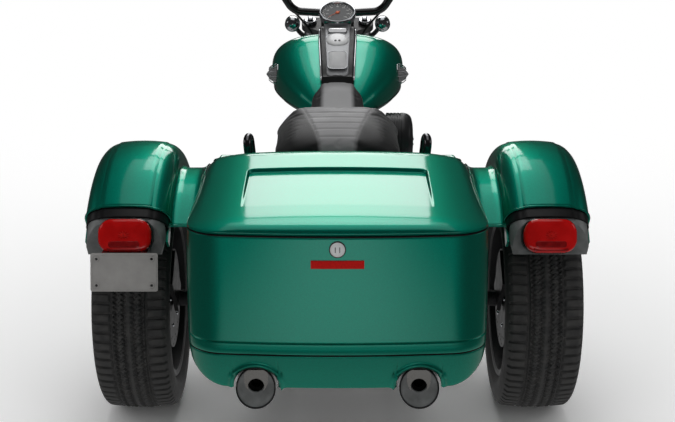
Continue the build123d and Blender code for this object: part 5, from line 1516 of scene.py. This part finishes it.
def timing_details():
    """Right side of the engine: the ribbed timing plate with its bolts, collars on the pushrod tubes, the
    oil filter and the crankcase's joint line."""
    centre = np.asarray((150.0, 766.0, 304.0))
    plate = [(-2, 0), (-2, 84), (2, 84), (4, 82), (5, 76), (3.5, 74), (3.5, 62), (5, 60), (5, 54),
             (3.5, 52), (3.5, 34), (6, 31), (7.5, 24), (8, 0)]
    piece("timing_plate", [lathe(plate, centre, (1, 0, 0), 64)], "chassis", SATIN_BLACK, "cover_black")
    ring = circle_points(centre + (4, 0, 0), 68, 0.3 + full_turn(5))
    chromed("timing_bolts", bolt_heads(ring, (1, 0, 0), 5.5, 4.5))
    collars, collar = [], [(-8, 9), (-8, 12), (-5, 13), (5, 13), (8, 12), (8, 9)]
    for lean in (1, -1):
        for offset in (14, 44):
            foot = np.asarray((122.0, CRANK[1] + lean * offset, 402.0))
            run = np.asarray((100.0, CRANK[1] + lean * (offset + 92), 606.0)) - foot
            collars += [lathe(collar, foot + run * share, run, 20) for share in (0.14, 0.9)]
    chromed("pushrod_collars", collars)
    can = [(0, 0), (0, 34), (6, 38), (64, 38), (74, 35), (80, 28), (82, 14), (80, 13), (80, 0)]
    piece("oil_filter", [lathe(can, (-44, 892, 232), (0, 1, -0.12), 32)], "chassis", SATIN_BLACK,
          "engine_black")
    turn = np.linspace(-0.6, 1.2, 30) * np.pi / 1.6
    line = circle_points(CRANK, 140.6, turn)
    piece("crankcase_joint", [tube(line, 2.4, 8)], "chassis", MACHINED, "engine_black")


def air_cleaner_cover():
    """Round cover with turned rings, a stepped centre and three bolts over the air cleaner's drum."""
    centre = np.asarray((172.0, 806.0, 614.0))
    body = [(-1, 0), (-1, 94), (1, 97.5)]
    for ridge in (12.0, 24.0, 36.0, 48.0):
        body += [(ridge - 3, 97.5), (ridge - 2, 96.2), (ridge + 2, 96.2), (ridge + 3, 97.5)]
    body += [(60, 97.5), (68, 96), (77, 91.5), (84.5, 84), (89, 75), (91.2, 68), (90.0, 65), (90.0, 59),
             (92, 56), (92, 50), (90.5, 47), (90.5, 34), (93, 31), (94, 26), (94, 0)]
    piece("air_cleaner_cover", [lathe(body, centre, (1, 0, 0), 80)], "chassis", SATIN_BLACK, "cover_black")
    rings = [[(90, 62.5), (92.2, 62), (92.2, 60), (90, 59.5)],
             [(91, 31.5), (94.4, 31), (94.6, 28), (91, 27.5)]]
    chromed("air_cleaner_rings", [lathe(ring, centre, (1, 0, 0), 72) for ring in rings])
    spots = circle_points(centre + (93.5, 0, 0), 14, (0.5, 2.6, 4.7))
    chromed("air_cleaner_bolts", bolt_heads(spots, (1, 0, 0), 5.0, 4.0))


def side_cover_skins():
    """Painted side covers: domed, with rolled edges, a sunk line and two screws."""
    corners = np.asarray([(560, 500), (600, 640), (540, 668), (330, 600), (300, 470)], float)
    shape = rounded(corners, 20, 6, True)
    middle = np.asarray((470.0, 575.0))
    levels = [(0, 0), (0.97, 0), (1.0, 2), (1.0, 9), (0.99, 12), (0.965, 14), (0.90, 15.6), (0.885, 15.0),
              (0.875, 15.0), (0.86, 16.2), (0.7, 18.5), (0.5, 20.2), (0.25, 21.2), (0, 21.5)]
    cover = outline_rows(shape - middle, levels, (144, middle[0], middle[1]), (0, 1, 0), (0, 0, 1))
    painted("side_cover_skins", both([cover]), hides=("side_covers",), crease_deg=50)
    screws = bolt_heads([(157.5, 340, 500), (157.5, 562, 628)], (1, 0, 0), 6.5, 5.0)
    chromed("side_cover_screws", both(screws))


def board_pads():
    """Ribbed rubber pads with a bright edge on the four footboards; the gear and brake pedals."""
    pads, edges = [], []
    strip = np.asarray([(-1, -6.5), (1.4, -6), (2.2, 0), (1.4, 6), (-1, 6.5)])
    for x, y, z, half_x, half_y in ((281, 1057.5, 250, 46, 129), (303.5, 345, 314, 38.5, 71)):
        centre = np.asarray((x, y, z), float)
        pads.append(slab(centre - (0, 0, 1), ACROSS, (0, 1, 0), half_x - 4, half_y - 4, 13, 5.0, 1.5))
        for step in np.linspace(-half_y + 16, half_y - 16, int(half_y / 6.5)):
            spot = centre + (0, step, 3.5)
            pads.append(slab(spot, ACROSS, (0, 1, 0), half_x - 10, 2.8, 2.4, 3.4, 1.0, 0.0, 3))
        loop = rounded_box(half_x + 1.5, half_y + 1.5, 18, 6)
        loop = centre - (0, 0, 7) + loop[:, :1] * ACROSS + loop[:, 1:] * np.asarray((0, 1, 0))
        edges.append(hoop(loop, (0, 0, 1), strip))
    piece("board_pads", both(pads), "chassis", GRIP_RUBBER, "tread_rubber")
    chromed("board_edges", both(edges))
    gear = [(-226, 880, 292), (-240, 960, 300), (-262, 1060, 322), (-270, 1130, 330)]
    heel = [(-226, 880, 292), (-244, 850, 316), (-262, 826, 340)]
    brake = [(160, 930, 214), (226, 980, 262), (258, 1060, 300), (268, 1120, 322)]
    arms = [tube(evenly(smooth_line(line, 8), 8), 7, 12, 0.7) for line in (gear, heel, brake)]
    chromed("pedal_arms", arms)
    peg = [(-24, 0), (-24, 10), (-20, 11.5), (20, 11.5), (24, 10), (24, 0)]
    pegs = [lathe(peg, spot, (1, 0, 0), 20) for spot in ((-288, 1132, 331), (-282, 824, 342))]
    pegs.append(slab((268, 1122, 326), (1, 0, 0), (0, 0.9, 0.45), 32, 24, 9, 9, 2.5, 1.5))
    piece("pedal_rubbers", pegs, "chassis", GRIP_RUBBER, "tread_rubber")


# Front end

RAKE = math.radians(26.0)


def on_fork(points):
    """Points in the fork's frame: origin on the front axle, Z up along the legs."""
    p = np.asarray(points, float)
    s, c = math.sin(RAKE), math.cos(RAKE)
    raked = [p[..., 0], p[..., 1] * c - p[..., 2] * s, p[..., 1] * s + p[..., 2] * c]
    return np.stack(raked, axis=-1) + FRONT_AXLE


FORK_UP = np.asarray((0.0, -math.sin(RAKE), math.cos(RAKE)))
FORK_AHEAD = np.asarray((0.0, math.cos(RAKE), math.sin(RAKE)))


def fork_details():
    """Caps, bands, dust seals and axle nuts on the fork legs, the clamps' pinch bolts, the stem's nut and the
    clamps of the handlebar's risers."""

    def on_leg(profile, z, sides):
        return lathe(profile, on_fork((105, 0, z)), FORK_UP, sides)

    seals = [on_leg([(0, 27), (0, 31), (4, 32.5), (14, 32.5), (20, 29), (22, 25)], 322, 36),
             on_leg([(0, 30), (0, 33), (5, 33.5), (9, 31.5)], 356, 36)]
    bright = [on_leg([(0, 0), (0, 24), (6, 24), (9, 21), (10, 12), (10, 0)], 704, 32)]
    bright += [on_leg([(0, 27.6), (0, 29.4), (3, 30), (6, 29.4), (6, 27.6)], z, 36) for z in (60, 300)]
    nuts = hex_heads([on_fork((105, 0, 714))], FORK_UP, 22, 8)
    nuts += hex_heads([(139, *FRONT_AXLE[1:])], ACROSS, 26, 12)
    nuts += bolt_heads([on_fork((88, 34, z)) for z in (497, 685)], FORK_AHEAD, 6, 6)
    piece("fork_seals", both(seals), "fork", GRIP_RUBBER, "tread_rubber")
    chromed("fork_caps", both(bright), "fork")
    chromed("fork_nuts", both(nuts), "fork")
    stem = hex_heads([on_fork((0, -51, 698))], FORK_UP, 32, 14)
    chromed("stem_nut", stem, "fork")
    clamps, bolts, clamp = [], [], [(-18, 0), (-18, 21), (-15, 23), (15, 23), (18, 21), (18, 0)]
    for x in (46.0, -46.0):
        clamps.append(lathe(clamp, (x, 1300, 991), ACROSS, 32))
        bolts += bolt_heads([(x - 10, 1300, 1013), (x + 10, 1300, 1013)], (0, 0, 1), 5, 5)
    piece("riser_clamps", clamps, "fork", SATIN_BLACK, "frame_black")
    chromed("riser_bolts", bolts, "fork")


def headlamp():
    """Chrome bucket with its ring, a metallised bowl with a bulb, a domed glass, and the mount."""
    start, ahead = np.asarray((0.0, 1452.0, 872.0)), (0, 1, 0)
    shell = [(0, 0), (1.5, 26), (6, 44), (14, 60), (25, 72), (40, 81.5), (60, 87), (95, 88.5), (97, 91.5),
             (100, 93.5), (110, 93.5), (114, 91.5), (114.5, 88.5), (112, 86), (100, 84)]
    bowl = [(102, 85), (94, 80), (80, 66), (66, 48), (55, 28), (51, 12), (50, 0)]
    glass = [(104, 85.5), (108, 84.5), (114, 72), (119, 48), (121.5, 22), (122, 0)]
    back = [(t - 3.0, r * 0.97) for t, r in glass][::-1]
    chromed("headlamp_bucket", [(lathe(shell, start, ahead, 72), False, True)], "fork", hides=("headlamp",),
            wall=1.0)
    piece("headlamp_bowl", [(lathe(bowl, start, ahead, 64), False, True)], "fork", REFLECTOR, "chrome",
          wall=0.8)
    piece("headlamp_glass", [(lathe(glass + back, start, ahead, 64), True, True)], "fork", CLEAR_GLASS,
          "lamp_glass")
    bulb = [(50, 0), (50, 11), (72, 11), (75, 8), (86, 8), (90, 4), (91, 0)]
    piece("headlamp_bulb", [lathe(bulb, start, ahead, 24)], "fork", REFLECTOR, "chrome")
    mount = slab(on_fork((0, 61, 638)), ACROSS, FORK_AHEAD, 24, 51, 8, 34, 4.0)
    piece("headlamp_mount", [mount], "fork", SATIN_BLACK, "frame_black")


def signals():
    """Bullet lamps with a chrome body and rear cap, a smoked glass ahead, on curved stalks."""
    centre = np.asarray((176.0, 1408.0, 935.0))
    shell = [(-26, 0), (-26, 27), (-24, 29), (-18, 29.8), (18, 29.8), (24, 29), (26, 27), (26, 0)]
    nose = [(24, 0), (24, 26.5), (28, 25.5), (33, 20), (36, 11), (36.5, 0)]
    stalk = [(112, 1388, 884), (140, 1396, 896), (160, 1404, 916), (170, 1408, 930)]
    stalk = evenly(smooth_line(stalk, 8), 5)
    stalk = tube(stalk, np.linspace(10, 8, len(stalk)), 16)
    collar = lathe([(-9, 25), (-9, 33), (-6, 34), (6, 34), (9, 33), (9, 25)], (105, 1385, 882), FORK_UP, 36)
    for name, grids, coating, slot, hides in (
            ("signal_bodies", [lathe(shell, centre, (0, 1, 0), 40)], CHROME, "chrome", ("front_signals",)),
            ("signal_front_glasses", [lathe(nose, centre, (0, 1, 0), 32)], SMOKED_LENS, "lamp_glass", ()),
            ("signal_rear_caps", [lathe(nose, centre, (0, -1, 0), 32)], CHROME, "chrome", ()),
            ("signal_stalks", [stalk, collar], SATIN_BLACK, "frame_black", ())):
        piece(name, both(grids), "fork", coating, slot, hides)


GRIP_FROM = np.asarray((322.0, 1255.4, 1193.0))
GRIP_TO = np.asarray((440.0, 1119.0, 1183.0))


def controls():
    """Ribbed grips with end caps, split switch housings with buttons, curved ball-ended levers, a fluid
    reservoir on the right and the lines that run down from both."""
    run = GRIP_TO - GRIP_FROM
    along, length = unit(run), np.linalg.norm(run)
    toward = unit(np.cross(along, (0, 0, 1)))
    rise = np.cross(toward, along)
    grip = [(0.22 * length, 0), (0.22 * length, 20.5), (0.25 * length, 20.5), (0.26 * length, 17.5)]
    for t in np.linspace(0.29, 0.96, 15) * length:
        grip += [(t - 2.6, 17.6), (t - 1.8, 19.0), (t + 1.8, 19.0), (t + 2.6, 17.6)]
    grip += [(0.98 * length, 17.5), (0.99 * length, 19.5), (1.015 * length, 19.5), (1.015 * length, 0)]
    cap = [(1.01 * length, 0), (1.01 * length, 18), (1.03 * length, 17), (1.045 * length, 11),
           (1.05 * length, 0)]
    box = [(-4, 15), (-4, 23), (-1, 26), (14.6, 26.5), (15.2, 25.2), (16.4, 25.2), (17, 26.5), (34, 26),
           (37, 23), (37, 15)]
    piece("grips", both([lathe(grip, GRIP_FROM, along, 28)]), "fork", GRIP_RUBBER, "tread_rubber",
          ("hand_controls",))
    chromed("grip_caps", both([lathe(cap, GRIP_FROM, along, 28)]), "fork")
    lever_in = GRIP_FROM + run * 0.02 + (0, 84, 4)
    lever_out = GRIP_FROM + run * 0.98 + (22, 80, 2)
    mount = evenly([GRIP_FROM + run * 0.06, GRIP_FROM + run * 0.05 + (0, 30, 2), lever_in - (0, 18, 0),
                    lever_in + (0, 6, 0)], 5)
    thickness = np.interp(np.linspace(0, 1, len(mount)), [0, 0.3, 0.75, 1], [16, 11, 10, 12])
    bracket = tube(mount, thickness, 18, 0.8)
    pivot = lathe([(-11, 0), (-11, 9), (-9, 10), (9, 10), (11, 9), (11, 0)], lever_in, (0, 0, 1), 20)
    piece("control_housings", both([(lathe(box, GRIP_FROM, along, 36), True, True), bracket, pivot]), "fork",
          SATIN_BLACK, "lever_black")
    bow = unit(np.cross(lever_out - lever_in, (0, 0, 1)))
    steps = [(0.0, 0), (0.12, -2), (0.35, -7), (0.6, -4), (0.85, 3), (1.0, 6)]
    line = smooth_line([lever_in + (lever_out - lever_in) * t + bow * b for t, b in steps], 8)
    width = np.interp(np.linspace(0, 1, len(line)), [0, 0.1, 0.5, 0.93, 0.96, 1], [9, 8.5, 6.2, 5, 7.4, 6.5])
    piece("levers", both([tube(line, width, 16, 0.62)]), "fork", MACHINED, "lever_black")
    foot, level = GRIP_FROM + run * 0.05 + (6, 40, 0), np.cross((0, 0, 1), along)
    body = slab(foot + (0, 0, 6), along, level, 25, 16, 7, 20, 3.0)
    lid = slab(foot + (0, 0, 26), along, level, 27, 18, 8, 4, 1.2)
    piece("brake_reservoir", [body, lid], "fork", SATIN_BLACK, "lever_black")
    spots = [foot + (0, 0, 30) + along * k for k in (-18, 18)]
    chromed("reservoir_screws", bolt_heads(spots, (0, 0, 1), 3.6, 2.6), "fork")
    buttons = []
    for share, tilt, half in ((0.04, 0.15, 6.5), (0.13, 0.5, 5.0), (0.13, -0.45, 5.0)):
        face = unit(toward + tilt * rise)
        spot = GRIP_FROM + run * share + face * 25
        buttons.append(slab(spot, along, np.cross(face, along), 5.5, half, 2.4, 5.0, 1.2))
    piece("control_buttons", both(buttons), "fork", MOULDED_BLACK, "lever_black")
    hose = [lever_in + (-8, 2, 0), (300, 1336, 1186), (262, 1326, 1130), (196, 1324, 1030),
            (120, 1330, 940), (70, 1352, 860), (62, 1376, 800)]
    hose = tube(evenly(smooth_line(hose, 10), 10), 4.2, 12)
    piece("control_hoses", both([hose]), "fork", HOSE_RUBBER, "frame_black")


def mirror_heads():
    """Mirrors: a dished black shell, a silvered glass set in its rim, and a curved stem."""
    foot = GRIP_FROM + (GRIP_TO - GRIP_FROM) * 0.03 + (0, 48, 8)
    head = np.asarray((foot[0] + 62, foot[1] - 20, 1192.0))
    u, v = unit((1, 0.25, 0)), np.asarray((0.0, 0.0, 1.0))
    outline = rounded_box(48, 31, 25, 10)
    levels = [(0, -21), (0.3, -20.6), (0.6, -18.5), (0.82, -13), (0.95, -5), (1.0, 3), (1.0, 14),
              (0.985, 17), (0.96, 18), (0.93, 17), (0.925, 14), (0, 14)]
    shell = outline_rows(outline, levels, head, u, v)
    glass = outline_rows(outline, [(0, 13), (0.92, 13), (0.92, 15), (0.88, 15.6), (0, 15.9)], head, u, v)
    stem = evenly(smooth_line([foot, foot + (16, 0, 10), foot + (42, -12, 6), head - (4, 4, 6)], 8), 5)
    piece("mirror_shells", both([shell]), "fork", SATIN_BLACK, "lever_black", ("mirrors",))
    piece("mirror_glasses", both([glass]), "fork", MIRROR_GLASS, "chrome")
    chromed("mirror_stems", both([tube(stem, 5.2, 14)]), "fork")


def front_fender_skin():
    """Painted skin over the front fender, and the rolled bead round its edges."""
    profile = fender_section(74.0, 350.0, 40.0, 286.0, 1.4, (5, 12, 7))
    rows = round_axle(profile, np.radians(np.linspace(-34, 92, 80)), 0.0, FRONT_AXLE[1:])
    painted("front_fender_skin", [(rows, False, False)], "fork", outward_from=FRONT_AXLE, wall=1.2)
    ends = [tube(evenly(rows[k][2:-2], 6), 2.4, 8) for k in (0, -1)]
    lips = [tube(evenly(rows[:, k], 10), 2.4, 8) for k in (0, -1)]
    painted("front_fender_bead", ends + lips, "fork")


def disc_details():
    """Black dots of painted shade where the brake discs are drilled, and the bolts of their carriers."""
    wheels = [("front", FRONT_AXLE, "front_wheel_body", ((62.2, 1), (-62.2, -1))),
              ("right", (WHEEL_X, 0, AXLE_Z), "rear_wheel_right_body", ((-86.2, -1),)),
              ("left", (-WHEEL_X, 0, AXLE_Z), "rear_wheel_left_body", ((86.2, 1),))]
    # Each drilling is a thin black plug on the disc's face: painted shade for the dark inside of a hole.
    hole = [(-0.6, 0), (-0.6, 3.2), (0.15, 3.2), (0.15, 0)]
    for name, centre, body, faces in wheels:
        holes, bolts = [], []
        for x, side in faces:
            spots = spoke_points(x, 118 + 10 * (np.arange(36) % 3), 36) + centre
            holes += [lathe(hole, spot, (side, 0, 0), 10) for spot in spots]
            bolts += bolt_heads(spoke_points(x, 84, 5) + centre, (side, 0, 0), 6, 4)
        piece(f"disc_drilling_shade_{name}", holes, body, SOOT_AND_HOLE_SHADE, "wheel_dark")
        chromed(f"disc_bolts_{name}", bolts, body)


# Studio


def fade(tree, value, start, end):
    """1 at start, falling smoothly to 0 at end."""
    made = add(tree, "MapRange", [("Value", value), ("From Min", start), ("From Max", end), ("To Min", 1.0),
                                  ("To Max", 0.0)], interpolation_type="SMOOTHSTEP")
    return made.outputs["Result"]


def studio_floor():
    """A plain pale floor. It turns to even white away from the vehicle and keeps its shadow. Metal sees a
    white lane behind the vehicle, and dimmer floor elsewhere, as between dark screens."""
    half = 40.0
    mesh = bpy.data.meshes.new("floor")
    mesh.from_pydata([(-half, -half, 0), (half, -half, 0), (half, half, 0), (-half, half, 0)], [],
                     [(0, 1, 2, 3)])
    paper = bpy.data.materials.new("pale_studio_floor")
    paper.use_nodes = True
    tree = paper.node_tree
    shader = tree.nodes["Principled BSDF"]
    spot = add(tree, "TexCoord").outputs["Object"]
    away = add(tree, "VectorMath", [("Vector", spot)], operation="LENGTH").outputs["Value"]
    far = add(tree, "MapRange", [("Value", away), ("From Min", 1.1), ("From Max", 3.2)]).outputs["Result"]
    seen = add(tree, "LightPath")
    # The paper is a little brighter to the camera than to the vehicle, so that it meets the white around it.
    tone = add(tree, "Mix", [("Factor", seen.outputs["Is Camera Ray"])], data_type="RGBA")
    tone.inputs["A"].default_value = (0.9, 0.9, 0.89, 1)
    tone.inputs["B"].default_value = (1.15, 1.15, 1.15, 1)
    parts = add(tree, "SeparateXYZ", [("Vector", spot)])
    across = calc(tree, "ABSOLUTE", parts.outputs["X"])
    lane = calc(tree, "MULTIPLY", fade(tree, across, 0.2, 1.7), fade(tree, away, 3.6, 1.8))
    lane = calc(tree, "MULTIPLY", lane, fade(tree, parts.outputs["Y"], 0.4, 1.4))
    near = calc(tree, "MULTIPLY_ADD", fade(tree, away, 1.2, 1.9), 0.30, 0.05)
    in_metal = calc(tree, "MULTIPLY", calc(tree, "MAXIMUM", lane, near), seen.outputs["Is Glossy Ray"])
    plain = calc(tree, "MAXIMUM", seen.outputs["Is Camera Ray"], seen.outputs["Is Transmission Ray"])
    level = calc(tree, "ADD", in_metal, plain)
    share = calc(tree, "MAXIMUM", calc(tree, "MULTIPLY", far, plain), seen.outputs["Is Glossy Ray"])
    paper_face = add(tree, "BsdfDiffuse", [("Color", tone.outputs["Result"])])
    glow = add(tree, "Emission", [("Color", (1, 1, 1, 1)), ("Strength", level)])
    mixed = add(tree, "MixShader", [("Fac", share)])
    tree.links.new(paper_face.outputs[0], mixed.inputs[1])
    tree.nodes.remove(shader)
    tree.links.new(glow.outputs[0], mixed.inputs[2])
    tree.links.new(mixed.outputs[0], tree.nodes["Material Output"].inputs["Surface"])
    mesh.materials.append(paper)
    floor = bpy.data.objects.new("floor", mesh)
    bpy.context.scene.collection.objects.link(floor)


def lamp(name, place, target, size, level):
    """Rectangular soft light aimed at a point. level is its brightness as a mirror would show it."""
    data = bpy.data.lights.new(name, "AREA")
    data.shape = "RECTANGLE"
    data.size, data.size_y = size
    data.energy = level * math.pi * size[0] * size[1]
    made = bpy.data.objects.new(name, data)
    made.location = place
    toward = unit(np.asarray(target, float) - place)
    made.rotation_euler = (math.acos(-toward[2]), 0, math.atan2(-toward[0], toward[1]))
    bpy.context.scene.collection.objects.link(made)


def studio_light():
    """Five soft panels round the vehicle in an even white room that metal hardly sees."""
    for name, place, target, size, level in (
            ("front_panel", (0, 5.0, 3.0), (0, -0.6, 0.7), (1.9, 2.9), 3.0),
            ("high_front_panel", (0, 3.2, 4.9), (0, 0.4, 0.8), (1.9, 2.0), 2.3),
            ("top_panel", (0, 0.7, 5.0), (0, 0.7, 0.6), (3.1, 6.4), 0.6),
            ("left_panel", (-4.6, -0.6, 2.7), (0, -0.2, 0.6), (2.6, 1.4), 0.65),
            ("right_panel", (4.6, -0.6, 2.7), (0, -0.2, 0.6), (2.6, 1.4), 0.65)):
        lamp(name, place, target, size, level)
    world = bpy.data.worlds.new("studio")
    bpy.context.scene.world = world
    world.use_nodes = True
    tree = world.node_tree
    seen = add(tree, "LightPath")
    plain = calc(tree, "MAXIMUM", seen.outputs["Is Camera Ray"], seen.outputs["Is Transmission Ray"])
    soft = calc(tree, "MULTIPLY_ADD", seen.outputs["Is Diffuse Ray"], 0.5, 0.025)
    level = calc(tree, "MAXIMUM", soft, plain)
    tree.nodes["Background"].inputs["Color"].default_value = (1, 1, 1, 1)
    tree.links.new(level, tree.nodes["Background"].inputs["Strength"])


def camera():
    """The photograph's camera, on the vehicle's middle plane."""
    data = bpy.data.cameras.new("camera")
    data.lens = CAMERA_LENS_MM
    data.sensor_width = 36.0
    data.clip_end = 100.0
    made = bpy.data.objects.new("camera", data)
    made.location = CAMERA_PLACE
    made.rotation_euler = (math.radians(90 - CAMERA_DOWN_DEG), 0, 0)
    bpy.context.scene.collection.objects.link(made)
    bpy.context.scene.camera = made


camera()
trunk_skin()
trunk_seals()
valance()
trunk_lid()
lid_lining()
deck_skin()
rear_fenders()
fender_bridges()
tail_lamps()
lamp_insides()
plate_border()
muffler_tips()
trunk_fittings()
grab_rail_feet()
tyres()
wheel_details()
disc_details()
tank()
console()
speedometer()
tank_badges()
seats()
fin_edges()
rocker_details()
primary_details()
timing_details()
air_cleaner_cover()
side_cover_skins()
board_pads()
fork_details()
headlamp()
signals()
controls()
mirror_heads()
front_fender_skin()
studio_floor()
studio_light()
bpy.context.scene.view_settings.view_transform = "Standard"
